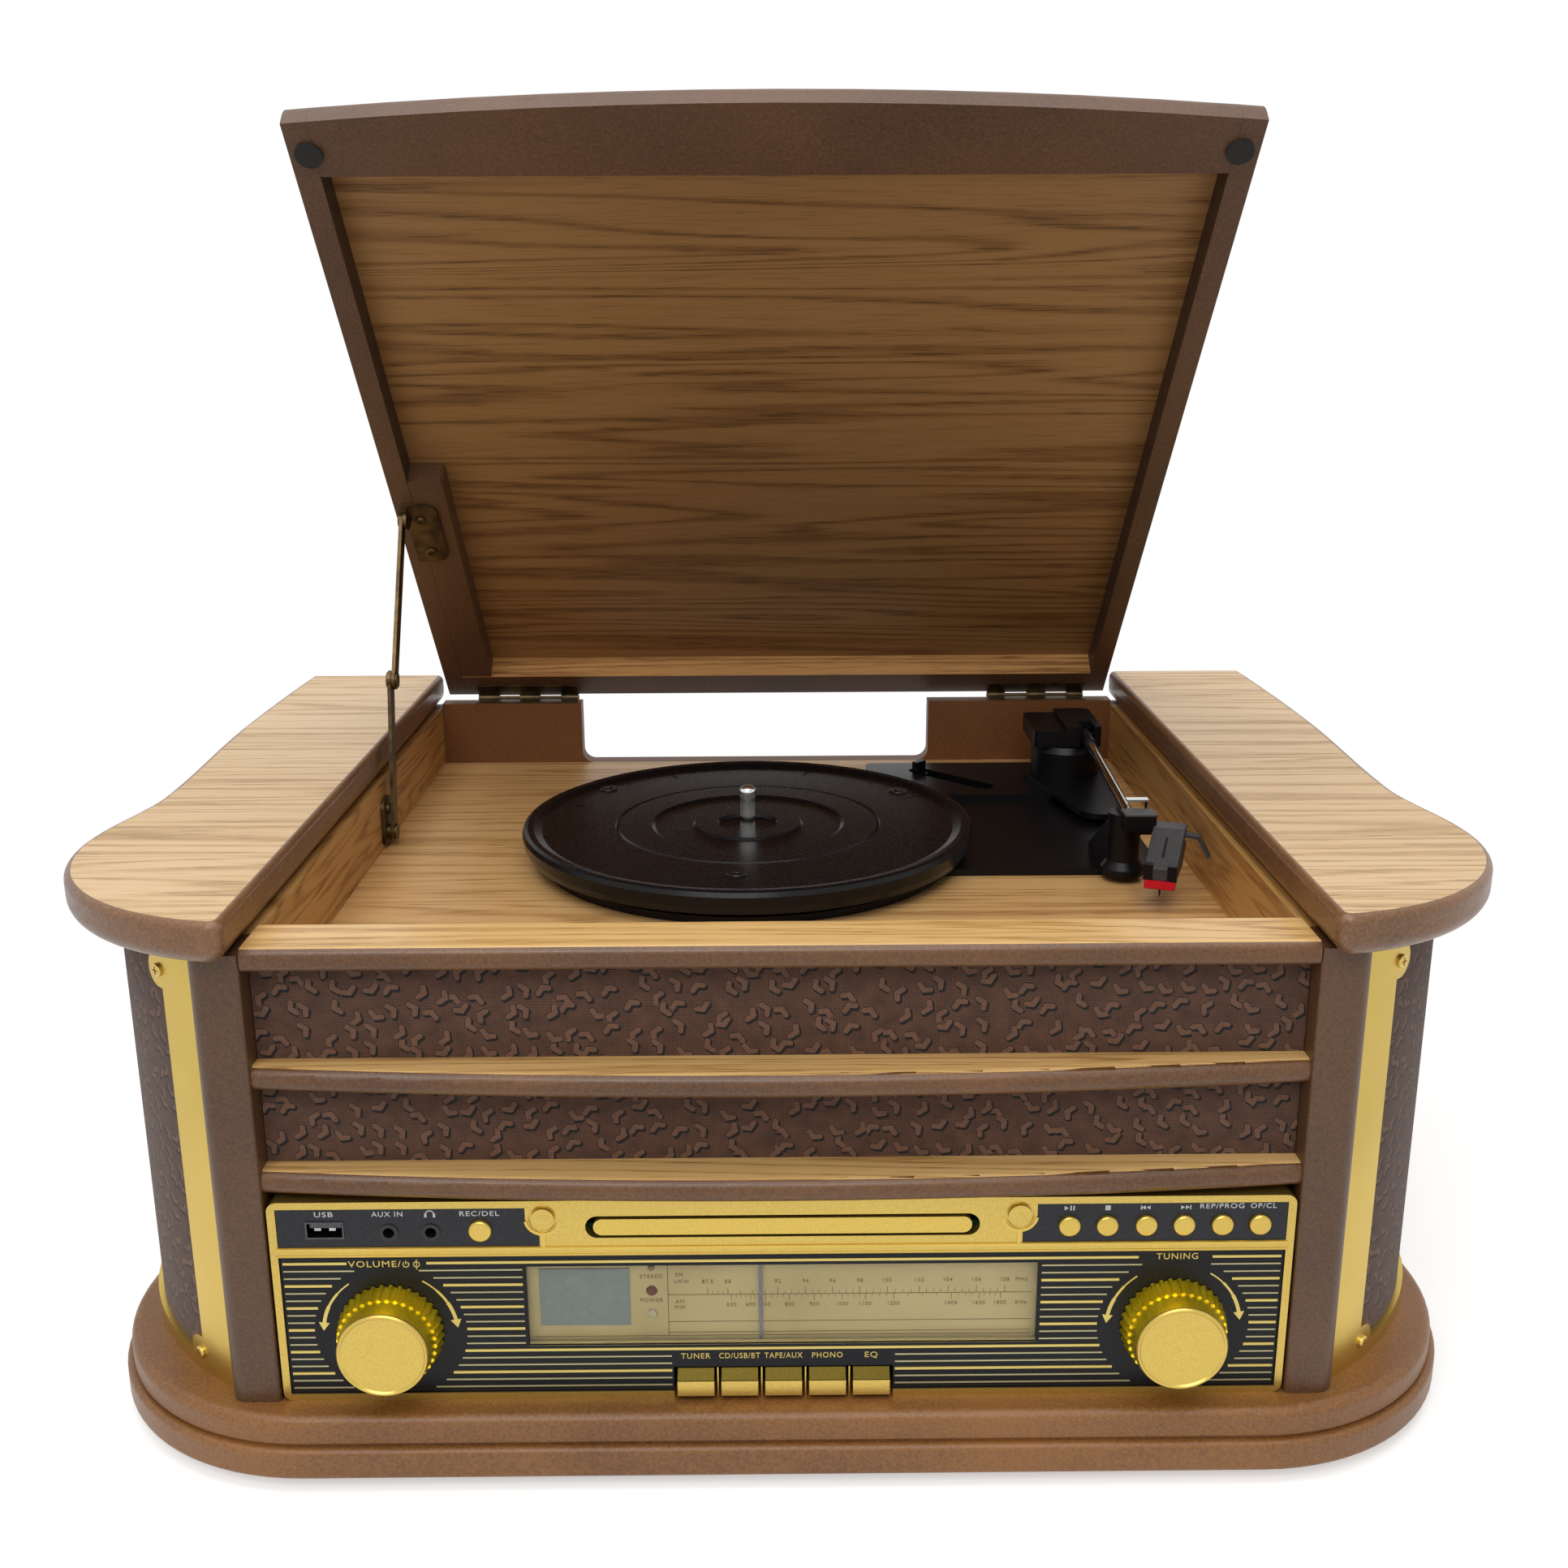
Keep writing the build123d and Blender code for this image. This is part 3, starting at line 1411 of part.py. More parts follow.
def all_parts():
    parts = {
        "plinth": plinth(),
        "rubber_feet": rubber_feet(),
        "cabinet_sides": cabinet_sides(),
        "back_panel": back_panel(),
        "cord_gland": cord_gland(),
        "record_deck": record_deck(),
        "front_top_rail": front_top_rail(),
        "front_slats": front_slats(),
        "front_grille": front_grille(),
        "pillars": pillars(),
        "left_wing": left_wing(),
        "right_wing": right_wing(),
        "side_grilles": side_grilles(),
        "side_trims": side_trims(),
        "trim_screws": trim_screws(),
        "speakers": speakers(),
        "electronics": electronics(),
        "front_bezel": front_bezel(),
        "black_inserts": black_inserts(),
        "front_sockets": front_sockets(),
        "dial_window": dial_window(),
        "dial_scale": dial_scale(),
        "dial_pointer": dial_pointer(),
        "volume_knob": knob(knob_xs[0]),
        "tuning_knob": knob(knob_xs[1]),
        "cd_tray": cd_tray(),
        "record_button": push_button(record_button_x, record_button_radius),
        "mechanism_plate": mechanism_plate(),
        "platter": platter(),
        "spindle": spindle(),
        "motor": motor(),
        "motor_pulley": motor_pulley(),
        "speed_selector": speed_selector(),
        "tonearm_turret": tonearm_turret(),
        "tonearm_carriage": tonearm_carriage(),
        "tonearm_tube": tonearm_tube(),
        "headshell": headshell(),
        "stylus": stylus(),
        "arm_rest": arm_rest(),
        "rest_clip": rest_clip(),
        "wall_hinge_leaves": wall_hinge_leaves(),
        "stay_wall_bracket": stay_wall_bracket(),
        "stay_lower_arm": stay_lower_arm(),
        "stay_upper_arm": stay_upper_arm(),
        "lid_panel": lid_panel(),
        "lid_rails": lid_rails(),
        "lid_bumpers": lid_bumpers(),
        "lid_hinge_leaves": lid_hinge_leaves(),
        "stay_lid_bracket": stay_lid_bracket(),
    }
    for name, x in zip(transport_names, transport_xs):
        parts[name] = push_button(x, button_radius)
    for name, x in zip(key_names, key_centres()):
        parts[name] = selector_key(x)
    return parts


os.makedirs("parts", exist_ok=True)
for name, shape in all_parts().items():
    export_step(Pos(0, -origin_y, 0) * shape, f"parts/{name}.step")
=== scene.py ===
import bpy
import bmesh
import math
from mathutils import Matrix, Vector


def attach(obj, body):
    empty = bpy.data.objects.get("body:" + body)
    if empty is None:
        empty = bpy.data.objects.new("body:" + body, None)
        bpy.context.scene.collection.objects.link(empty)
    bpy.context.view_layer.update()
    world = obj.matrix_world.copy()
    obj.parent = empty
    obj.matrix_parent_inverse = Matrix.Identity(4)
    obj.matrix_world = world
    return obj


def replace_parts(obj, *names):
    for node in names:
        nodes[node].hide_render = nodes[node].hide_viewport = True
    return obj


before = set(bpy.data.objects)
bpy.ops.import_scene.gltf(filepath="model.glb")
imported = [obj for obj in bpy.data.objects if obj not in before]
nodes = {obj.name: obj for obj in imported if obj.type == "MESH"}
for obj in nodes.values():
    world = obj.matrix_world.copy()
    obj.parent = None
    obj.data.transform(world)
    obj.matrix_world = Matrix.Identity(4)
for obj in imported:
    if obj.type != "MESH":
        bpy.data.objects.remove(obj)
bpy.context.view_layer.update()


# Camera
# One long lens stands low in front of the cabinet and looks slightly down at it. Its
# focal length is given in pixels of a picture 1932 pixels wide.
def set_up(name, data):
    """A new object in the scene, at the origin."""
    thing = bpy.data.objects.new(name, data)
    bpy.context.scene.collection.objects.link(thing)
    return thing


sensor_width = 36.0
picture_width = 1932
focal_pixels = 2049.34
camera_place = (-0.00232, -0.67713, 0.39099)
camera_pitch = math.radians(15.81)
camera_yaw = math.radians(0.395)
camera_roll = math.radians(-0.266)
lens_data = bpy.data.cameras.new("front_camera")
lens_data.sensor_fit = "HORIZONTAL"
lens_data.sensor_width = sensor_width
lens_data.lens = sensor_width * focal_pixels / picture_width
camera = set_up("front_camera", lens_data)
ahead_level = math.cos(camera_pitch)
ahead = Vector((math.sin(camera_yaw) * ahead_level, math.cos(camera_yaw) * ahead_level,
                -math.sin(camera_pitch)))
level = Vector((math.cos(camera_yaw), -math.sin(camera_yaw), 0))
upright = level.cross(ahead)
right = level * math.cos(camera_roll) + upright * math.sin(camera_roll)
above = upright * math.cos(camera_roll) - level * math.sin(camera_roll)
camera_turn = Matrix((right, above, -ahead)).transposed().to_4x4()
camera.matrix_world = Matrix.Translation(camera_place) @ camera_turn
bpy.context.scene.camera = camera
bpy.context.scene.view_settings.view_transform = "Standard"


# Studio
# A white table and white surroundings, one large soft lamp above and one at the front.
# The rays that light the model find a dimmer sky and a plain table.
def fill(tree, made, inputs):
    """Gives inputs of a shader node plain values or the outputs of other nodes."""
    for slot, value in inputs:
        if isinstance(value, bpy.types.NodeSocket):
            tree.links.new(value, made.inputs[slot])
        else:
            made.inputs[slot].default_value = value
    return made.outputs


def node(tree, kind, *inputs):
    return fill(tree, tree.nodes.new("ShaderNode" + kind), inputs)


def maths(tree, kind, *values):
    made = tree.nodes.new("ShaderNodeMath")
    made.operation = kind
    return fill(tree, made, enumerate(values))[0]


def vectors(tree, kind, *values):
    made = tree.nodes.new("ShaderNodeVectorMath")
    made.operation = kind
    found = fill(tree, made, enumerate(values))
    return found["Value"] if kind in ("DOT_PRODUCT", "LENGTH") else found[0]


def finish(name):
    made = bpy.data.materials.new(name)
    made.use_nodes = True
    tree = made.node_tree
    return made, tree, tree.nodes["Principled BSDF"]


def by_ray(tree, lighting, seen, end):
    """One shader lights the model. The camera sees the other, also in glossy and clear parts."""
    path = node(tree, "LightPath")
    direct = maths(tree, "MAXIMUM", path["Is Camera Ray"], path["Is Transmission Ray"])
    looked_at = maths(tree, "MAXIMUM", direct, path["Is Glossy Ray"])
    mixed = node(tree, "MixShader", (0, looked_at), (1, lighting), (2, seen))
    node(tree, end, ("Surface", mixed[0]))


def soft_lamp(name, where, target, size, power):
    lamp_data = bpy.data.lights.new(name, "AREA")
    lamp_data.shape = "RECTANGLE"
    lamp_data.size = size[0]
    lamp_data.size_y = size[1]
    lamp_data.energy = power
    way = Vector(target) - Vector(where)
    facing = way.to_track_quat("-Z", "Y").to_matrix().to_4x4()
    set_up(name, lamp_data).matrix_world = Matrix.Translation(where) @ facing


white_world = bpy.data.worlds.new("studio")
bpy.context.scene.world = white_world
white_world.use_nodes = True
sky = white_world.node_tree
sky.nodes.clear()
soft = node(sky, "Background", ("Color", (1.0, 0.985, 0.96, 1)), ("Strength", 0.30))
bright = node(sky, "Background", ("Color", (1, 1, 1, 1)), ("Strength", 1.0))
by_ray(sky, soft[0], bright[0], "OutputWorld")
soft_lamp("top_lamp", (-0.05, -0.15, 1.5), (0, 0, 0.1), (1.6, 1.0), 10.5)
soft_lamp("front_lamp", (-0.25, -1.35, 1.45), (0, -0.1, 0.12), (1.2, 0.8), 13.0)

table_half = 30
fade_start = 0.30
fade_end = 0.55
table_mesh = bmesh.new()
bmesh.ops.create_grid(table_mesh, x_segments=1, y_segments=1, size=table_half)
table_data = bpy.data.meshes.new("table")
table_mesh.to_mesh(table_data)
table_mesh.free()
set_up("table", table_data)
table_finish, paint = finish("white_table")[:2]
paint.nodes.clear()
table_grain = node(paint, "TexNoise", ("Scale", 3.0))["Fac"]
table_tint = node(paint, "MapRange", ("Value", table_grain), ("To Min", 0.80), ("To Max", 0.82))
table_coat = node(paint, "BsdfDiffuse", ("Color", table_tint["Result"]))[0]
table_glow = node(paint, "Emission", ("Strength", 0.5))[0]
near_white = node(paint, "AddShader", (0, table_coat), (1, table_glow))[0]
far_white = node(paint, "Emission", ("Strength", 1.0))[0]
table_fade = paint.nodes.new("ShaderNodeMapRange")
table_fade.interpolation_type = "SMOOTHSTEP"
away = vectors(paint, "LENGTH", node(paint, "TexCoord")["Object"])
faded = fill(paint, table_fade, (("Value", away), ("From Min", fade_start), ("From Max", fade_end)))
table_seen = node(paint, "MixShader", (0, faded["Result"]), (1, near_white), (2, far_white))
by_ray(paint, table_coat, table_seen[0], "OutputMaterial")
table_data.materials.append(table_finish)


# Plinth and pillars
# A stepped base of fibreboard and two front pillars, stained brown and lacquered. A faint
# speckle of fibres shows under the lacquer. The pillars have a darker copy of the same stain:
# painted shade.
def place(tree, scale=(1, 1, 1), rotation=(0, 0, 0), offset=(0, 0, 0)):
    here = node(tree, "TexCoord")["Object"]
    inputs = (("Vector", here), ("Location", offset), ("Rotation", rotation), ("Scale", scale))
    return node(tree, "Mapping", *inputs)[0]


def noise(tree, vector, scale, detail, distortion=0.0):
    inputs = (("Vector", vector), ("Scale", scale), ("Detail", detail), ("Distortion", distortion))
    return node(tree, "TexNoise", *inputs)["Fac"]


def linear(color):
    """Steps of 0 to 255 as shares of light."""
    return [(c / 255 / 12.92 if c <= 10 else ((c / 255 + 0.055) / 1.055) ** 2.4) for c in color]


def ramp(tree, value, *stops):
    made = tree.nodes.new("ShaderNodeValToRGB")
    band = made.color_ramp
    while len(band.elements) < len(stops):
        band.elements.new(0.5)
    for element, (at_value, color) in zip(band.elements, stops):
        element.position = at_value
        element.color = (*linear(color), 1)
    return fill(tree, made, ((0, value),))[0]


def shade(tree, value, dark, light, ends=(0.35, 0.65)):
    return ramp(tree, value, (ends[0], dark), (ends[1], light))


def lay_on(tree, shader, color, grain, rough, depth=0.0, height=None, levels=()):
    """Colour, a roughness and a relief that follow the grain, and further levels of the shader."""
    roughness = node(tree, "MapRange", ("Value", grain), ("To Min", rough[0]), ("To Max", rough[1]))
    fill(tree, shader, (("Base Color", color), ("Roughness", roughness["Result"]), *levels))
    if depth:
        relief = node(tree, "Bump", ("Height", height or grain), ("Distance", depth))
        fill(tree, shader, (("Normal", relief["Normal"]),))


def stain(tree, dark, light):
    fibre = noise(tree, place(tree), 900, 4)
    cloud = noise(tree, place(tree), 14, 3)
    tone = maths(tree, "ADD", maths(tree, "MULTIPLY", fibre, 0.55), maths(tree, "MULTIPLY", cloud, 0.45))
    return shade(tree, tone, dark, light, (0.36, 0.62)), fibre


def stained(name, dark, light, rough, depth, levels=()):
    made, tree, shader = finish(name)
    color, fibre = stain(tree, dark, light)
    lay_on(tree, shader, color, fibre, rough, depth, levels=levels)
    return made


def wear(made, *pieces):
    """Gives pieces of the frame a finish."""
    for piece in pieces:
        nodes[piece].data.materials.clear()
        nodes[piece].data.materials.append(made)


lacquer = (("Coat Weight", 0.2), ("Coat Roughness", 0.25))
wear(stained("plinth_stain", (108, 69, 32), (152, 102, 52), (0.42, 0.58), 0.00006, lacquer), "plinth")
# The pillars' stain is the plinth's made darker, a painted shade.
wear(stained("pillars_stain_painted_shade", (70, 45, 24), (102, 69, 40), (0.42, 0.58), 0.00006, lacquer), "pillars")


# Rubber feet and bumpers
# Four matt black pads glued under the plinth, and two small ones under the lid where it
# meets the cabinet.
def flecked(name, scale, detail, tones, rough, depth=0.0, ends=(0.3, 0.7), levels=(), stretch=(1, 1, 1)):
    """A finish whose tone, roughness and relief follow one fine speck."""
    made, tree, shader = finish(name)
    speck = noise(tree, place(tree, stretch), scale, detail)
    lay_on(tree, shader, shade(tree, speck, *tones, ends), speck, rough, depth, levels=levels)
    return made


rubber = flecked("black_rubber", 1500, 2, ((20, 20, 20), (34, 33, 32)), (0.7, 0.85), 0.00004)
wear(rubber, "rubber_feet", "lid_bumpers")

# Inner walls and record deck
# Board with oak veneer under a satin lacquer. The grain runs along the cabinet's width on
# the deck, and along its depth on the walls.
ring_count = 84.0
ring_sharpness = 2.6
pore_level = 0.52


def oak_color(tree, along, tones, spread=1.0, offset=(0, 0, 0), turn=(0, 0, 0)):
    """Year rings, the dark pores among them and broad clouds, drawn out along the grain."""
    def drawn_out(share):
        return place(tree, (share, 1, 1) if along == "x" else (1, share, 1), turn, offset)

    wave = noise(tree, drawn_out(0.05), 30 * spread, 2.5, 0.6)
    rings = maths(tree, "SINE", maths(tree, "MULTIPLY", wave, ring_count))
    rings = maths(tree, "POWER", maths(tree, "MULTIPLY_ADD", rings, 0.5, 0.5), ring_sharpness)
    pores = maths(tree, "SUBTRACT", noise(tree, drawn_out(0.035), 1500, 3), pore_level)
    pores = maths(tree, "SMOOTH_MAX", pores, 0.0, 0.02)
    pores = maths(tree, "MULTIPLY", pores, maths(tree, "MULTIPLY_ADD", rings, 2.2, 1.2))
    cloud = noise(tree, drawn_out(0.4), 9, 2)
    tone = maths(tree, "MULTIPLY_ADD", rings, 0.36, maths(tree, "MULTIPLY", cloud, 0.40))
    tone = maths(tree, "MULTIPLY_ADD", pores, 1.1, tone)
    light, middle, dark = tones
    return ramp(tree, tone, (0.14, light), (0.42, middle), (0.85, dark)), tone


def oak(name, along, tones, spread=1.0, offset=(0, 0, 0), turn=(0, 0, 0)):
    made, tree, shader = finish(name)
    color, tone = oak_color(tree, along, tones, spread, offset, turn)
    lay_on(tree, shader, color, tone, (0.38, 0.52), -0.00005)
    return made


deck_oak = ((220, 176, 118), (202, 156, 98), (156, 112, 62))
wall_oak = ((206, 158, 94), (188, 138, 76), (142, 96, 44))
wear(oak("deck_oak", "x", deck_oak, offset=(0.3, 0.1, 0)), "record_deck")
wear(oak("wall_oak", "y", wall_oak, 1.4, (0, 0.2, 0.4)), "cabinet_sides")

# Back wall
# Fibreboard across the whole width behind the record well, stained a reddish brown. It
# carries the lid's hinges.
wear(stained("dark_stain", (85, 47, 16), (117, 71, 28), (0.45, 0.6), 0.00005), "back_panel")


# Wing tops, front rail and slats
# Solid edges are turned round and stained brown, and the upper face has oak veneer.
# The veneer ends where the face starts to fall away.
def blend(tree, share, first, second):
    made = tree.nodes.new("ShaderNodeMix")
    made.data_type = "RGBA"
    return fill(tree, made, ((0, share), (6, first), (7, second)))[2]


def capped(name, tones, spread, offset, edge, least_rise):
    """Veneer where a face looks up by at least so much, and stain everywhere else."""
    made, tree, shader = finish(name)
    wood, tone = oak_color(tree, "x", tones, spread, offset)
    brown, fibre = stain(tree, *edge)
    facing = node(tree, "SeparateXYZ", (0, node(tree, "NewGeometry")["Normal"]))
    top = maths(tree, "GREATER_THAN", facing["Z"], least_rise)
    lay_on(tree, shader, blend(tree, top, brown, wood), tone, (0.38, 0.52), 0.00004,
           blend(tree, top, fibre, tone), (("Coat Weight", 0.25), ("Coat Roughness", 0.2)))
    return made


pale_oak = ((226, 190, 138), (208, 168, 110), (160, 120, 68))
honey_oak = ((236, 194, 130), (218, 174, 108), (172, 128, 70))
wing_edge = ((92, 61, 35), (138, 96, 60))
slat_edge = ((80, 47, 18), (118, 76, 34))
wear(capped("left_wing_oak", pale_oak, 1.0, (0.7, 0.3, 0), wing_edge, 0.985), "left_wing")
wear(capped("right_wing_oak", pale_oak, 1.0, (0.2, 0.8, 0), wing_edge, 0.985), "right_wing")
wear(capped("rail_oak", honey_oak, 1.5, (0.1, 0.5, 0), slat_edge, 0.9), "front_top_rail")
wear(capped("slat_oak", honey_oak, 1.5, (0.5, 0.2, 0), slat_edge, 0.9), "front_slats")

# Grille cloth
# A heavy jacquard: brown twill ground with small hooked figures woven in a lighter
# thread and a thin dark outline. A copy of each figure, moved to the lower right, is painted
# dark as well: a painted shadow of the raised thread. It is stretched over the front board
# and the bowed boards.
hook_bends = ((-0.0007, -0.0019), (0.0, 0.0005), (0.0021, 0.0009))
hook_shadow = (-0.0005, 0.0007, 0)
hook_half = 0.00092
hook_rim = 0.00114
shadow_half = 0.00118
figure_scale = 138
thread_pitch = 0.0011


def position(tree):
    return node(tree, "SeparateXYZ", (0, node(tree, "TexCoord")["Object"]))


def hook(tree, point):
    """Distance from the bent middle line of one woven figure."""
    reach = []
    for start, end in zip(hook_bends, hook_bends[1:]):
        run = (end[0] - start[0], end[1] - start[1], 0.0)
        inward = vectors(tree, "SUBTRACT", point, (*start, 0.0))
        share = maths(tree, "DIVIDE", vectors(tree, "DOT_PRODUCT", inward, run), run[0] ** 2 + run[1] ** 2)
        share = maths(tree, "MINIMUM", maths(tree, "MAXIMUM", share, 0.0), 1.0)
        scaled = tree.nodes.new("ShaderNodeVectorMath")
        scaled.operation = "SCALE"
        along = fill(tree, scaled, ((0, run), ("Scale", share)))[0]
        reach.append(vectors(tree, "LENGTH", vectors(tree, "SUBTRACT", inward, along)))
    return maths(tree, "SMOOTH_MIN", *reach, 0.0003)


def cloth(name, across):
    """The function given as across tells how far along the cloth a point lies."""
    made, tree, shader = finish(name)
    x, y, z = position(tree)
    u = across(tree, x, y)
    point = node(tree, "CombineXYZ", (0, u), (1, z))[0]
    cells = tree.nodes.new("ShaderNodeTexVoronoi")
    cells.voronoi_dimensions = "2D"
    cell = fill(tree, cells, (("Vector", point), ("Scale", figure_scale), ("Randomness", 0.75)))
    away = vectors(tree, "SUBTRACT", point, cell["Position"])
    chance = node(tree, "SeparateColor", (0, cell["Color"]))
    quarter = maths(tree, "FLOOR", maths(tree, "MULTIPLY", chance[0], 4.0))
    angle = maths(tree, "MULTIPLY_ADD", quarter, math.pi / 2, 0.3)
    flip = maths(tree, "GREATER_THAN", chance[1], 0.5)
    mirror = node(tree, "CombineXYZ", (0, maths(tree, "MULTIPLY_ADD", flip, 2.0, -1.0)), (1, 1.0))[0]

    def figure(start):
        turned = tree.nodes.new("ShaderNodeVectorRotate")
        turned.rotation_type = "Z_AXIS"
        mirrored = vectors(tree, "MULTIPLY", start, mirror)
        return hook(tree, fill(tree, turned, (("Vector", mirrored), ("Angle", angle)))[0])

    def threads(kind):
        along = maths(tree, "MULTIPLY", maths(tree, kind, u, z), 2 * math.pi / thread_pitch)
        return maths(tree, "SINE", along)

    distance = figure(away)
    inside = maths(tree, "LESS_THAN", distance, hook_half)
    rim = maths(tree, "LESS_THAN", distance, hook_rim)
    # The figure moved to the lower right and painted dark: a painted shadow beside the raised thread.
    shadow = maths(tree, "LESS_THAN", figure(vectors(tree, "ADD", away, hook_shadow)), shadow_half)
    rim_and_shadow = maths(tree, "MAXIMUM", rim, shadow)
    crossing = maths(tree, "MULTIPLY", threads("ADD"), threads("SUBTRACT"))
    weave = maths(tree, "MULTIPLY_ADD", crossing, 0.5, 0.5)
    cloud = maths(tree, "SUBTRACT", noise(tree, point, 160, 3), 0.5)
    thread = maths(tree, "MULTIPLY_ADD", cloud, 0.6, weave)
    ground = shade(tree, thread, (28, 13, 9), (122, 84, 64), (0.25, 0.85))
    lifted = shade(tree, thread, (86, 58, 44), (134, 98, 78), (0.1, 0.85))
    rim_and_shadow_color = (*linear((14, 6, 5)), 1)
    color = blend(tree, inside, blend(tree, rim_and_shadow, ground, rim_and_shadow_color), lifted)
    height = maths(tree, "ADD", maths(tree, "MULTIPLY", thread, 0.4), inside)
    lay_on(tree, shader, color, thread, (0.8, 0.95), 0.00025, height, (("Sheen Weight", 0.15),))
    return made


bow_centre = (0.13196, -0.07272)
bow_radius = 0.1128


def around_bow(tree, x, y):
    reach = maths(tree, "SUBTRACT", maths(tree, "ABSOLUTE", x), bow_centre[0])
    depth = maths(tree, "SUBTRACT", y, bow_centre[1])
    return maths(tree, "MULTIPLY", maths(tree, "ARCTAN2", depth, reach), bow_radius)


wear(cloth("front_cloth", lambda tree, x, y: x), "front_grille")
wear(cloth("side_cloth", around_bow), "side_grilles")

# Speakers
# Paper cones with their frames and magnets, screwed behind the bowed boards and hidden
# by the cloth.
wear(flecked("speaker_paper", 700, 3, ((18, 18, 18), (32, 31, 30)), (0.75, 0.9)), "speakers")

# Side trims and their screws
# Frames of plastic with a thin gold plating and a fine satin. Two domed cross-head
# screws, plated too, hold each of them.
plated_speck = (1800, 2)
plated_relief = 0.000012


def gold(name, dark, light, rough=(0.24, 0.36), metal=0.9):
    made, tree, shader = finish(name)
    speck = noise(tree, place(tree), *plated_speck)
    cloud = noise(tree, place(tree), 22, 2)
    tone = maths(tree, "MULTIPLY_ADD", speck, 0.4, maths(tree, "MULTIPLY", cloud, 0.6))
    color = shade(tree, tone, dark, light)
    lay_on(tree, shader, color, tone, rough, plated_relief, speck, (("Metallic", metal),))
    return made


plated = gold("plated_gold", (202, 172, 84), (216, 186, 96))
wear(plated, "side_trims")
wear(gold("screw_gold", (196, 166, 84), (226, 200, 120), (0.2, 0.3)), "trim_screws")

# Fascia
# A gold-plated moulding with a stepped crossbar and two round bosses, each in a half ring
# with a short stem. Its lower field, sunk 1 mm behind the rim, is black.
plated_rough = (0.26, 0.36)
sunk_from = -176.9
field_top = 83.7
ledge_from = -176.35
window_foot = 48.0


def close_to(tree, value, middle, reach):
    """One where a value lies within a reach of its middle, both in mm, and nought elsewhere."""
    off = maths(tree, "ABSOLUTE", maths(tree, "SUBTRACT", value, middle / 1000))
    return maths(tree, "LESS_THAN", off, reach / 1000)


made, tree, shader = finish("fascia_gold_and_black")
here = position(tree)
speck = noise(tree, place(tree), *plated_speck)
gold_tone = shade(tree, speck, (196, 168, 86), (210, 182, 98))
black_tone = shade(tree, speck, (20, 21, 26), (28, 29, 35))
ledge_tone = shade(tree, speck, (196, 178, 130), (208, 190, 142))
sunk = maths(tree, "GREATER_THAN", here["Y"], sunk_from / 1000)
field = maths(tree, "MULTIPLY", sunk, maths(tree, "LESS_THAN", here["Z"], field_top / 1000))
deep = maths(tree, "GREATER_THAN", here["Y"], ledge_from / 1000)
ledge = maths(tree, "MULTIPLY", deep, close_to(tree, here["Z"], window_foot, 0.1))
color = blend(tree, ledge, blend(tree, field, gold_tone, black_tone), ledge_tone)
metal = maths(tree, "MULTIPLY_ADD", field, -0.9, 0.9)
gloss = maths(tree, "MULTIPLY_ADD", field, -0.3, 0.5)
lay_on(tree, shader, color, speck, plated_rough, plated_relief,
       levels=(("Metallic", metal), ("Specular IOR Level", gloss)))
wear(made, "front_bezel")


def at(x, y, z):
    """A place in mm as a matrix in metres."""
    return Matrix.Translation((x / 1000, y / 1000, z / 1000))


def turned(degrees, axis):
    return Matrix.Rotation(math.radians(degrees), 4, axis)


def add_block(mesh, stand, size):
    bmesh.ops.create_cube(mesh, size=1, matrix=stand @ Matrix.Diagonal((*(s / 1000 for s in size), 1)))


def add_bar(mesh, low, high):
    """A block given by two opposite corners in mm."""
    add_block(mesh, at(*((a + b) / 2 for a, b in zip(low, high))), [b - a for a, b in zip(low, high)])


def soften(mesh, width):
    bmesh.ops.bevel(mesh, geom=mesh.edges[:], offset=width / 1000, offset_type="OFFSET", segments=2,
                    profile=0.5, affect="EDGES", material=-1)


def pour(part, mesh):
    """Adds one mesh to another and frees it."""
    carrier = bpy.data.meshes.new("carrier")
    part.to_mesh(carrier)
    part.free()
    mesh.from_mesh(carrier)
    bpy.data.meshes.remove(carrier)


def add_arc(mesh, centre, radius, width, start, sweep, y):
    """A flat strip round a centre in x and z, between two places in y."""
    strip = bmesh.new()
    inner = radius - width / 2
    outer = radius + width / 2
    section = ((inner, y[0]), (outer, y[0]), (outer, y[1]), (inner, y[1]))
    corners = [strip.verts.new((r / 1000, depth / 1000, 0)) for r, depth in section]
    edges = [strip.edges.new((corners[n], corners[(n + 1) % 4])) for n in range(4)]
    bmesh.ops.rotate(strip, verts=corners, matrix=Matrix.Rotation(math.radians(-start), 3, "Y"))
    bmesh.ops.spin(strip, geom=corners + edges, axis=(0, 1, 0), cent=(0, 0, 0), angle=math.radians(-sweep),
                   steps=24)
    bmesh.ops.holes_fill(strip, edges=strip.edges[:], sides=4)
    bmesh.ops.translate(strip, verts=strip.verts[:], vec=(centre[0] / 1000, 0, centre[1] / 1000))
    bmesh.ops.recalc_face_normals(strip, faces=strip.faces[:])
    pour(strip, mesh)


def new_piece(name, mesh, made, body):
    data = bpy.data.meshes.new(name)
    mesh.to_mesh(data)
    mesh.free()
    data.materials.append(made)
    piece = set_up(name, data)
    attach(piece, body)
    return piece


ridge_half = 171.6
ridge_back = -177.35
boss_places = (-80.9, 80.1)
boss_height = 98.0
ridges = bmesh.new()
add_bar(ridges, (-ridge_half, -177.9, 85.8), (ridge_half, ridge_back, 87.3))
add_bar(ridges, (-ridge_half, -177.6, 83.9), (ridge_half, ridge_back, 84.6))
cups = bmesh.new()
for x in boss_places:
    add_bar(ridges, (x - 0.8, -177.75, 87.2), (x + 0.8, ridge_back, 92.4))
    add_arc(cups, (x, boss_height), 5.9, 1.0, 190, 160, (-177.8, -177.3))
soften(ridges, 0.18)
new_piece("fascia_ridges", ridges, plated, "cabinet")
new_piece("boss_cups", cups, plated, "cabinet")

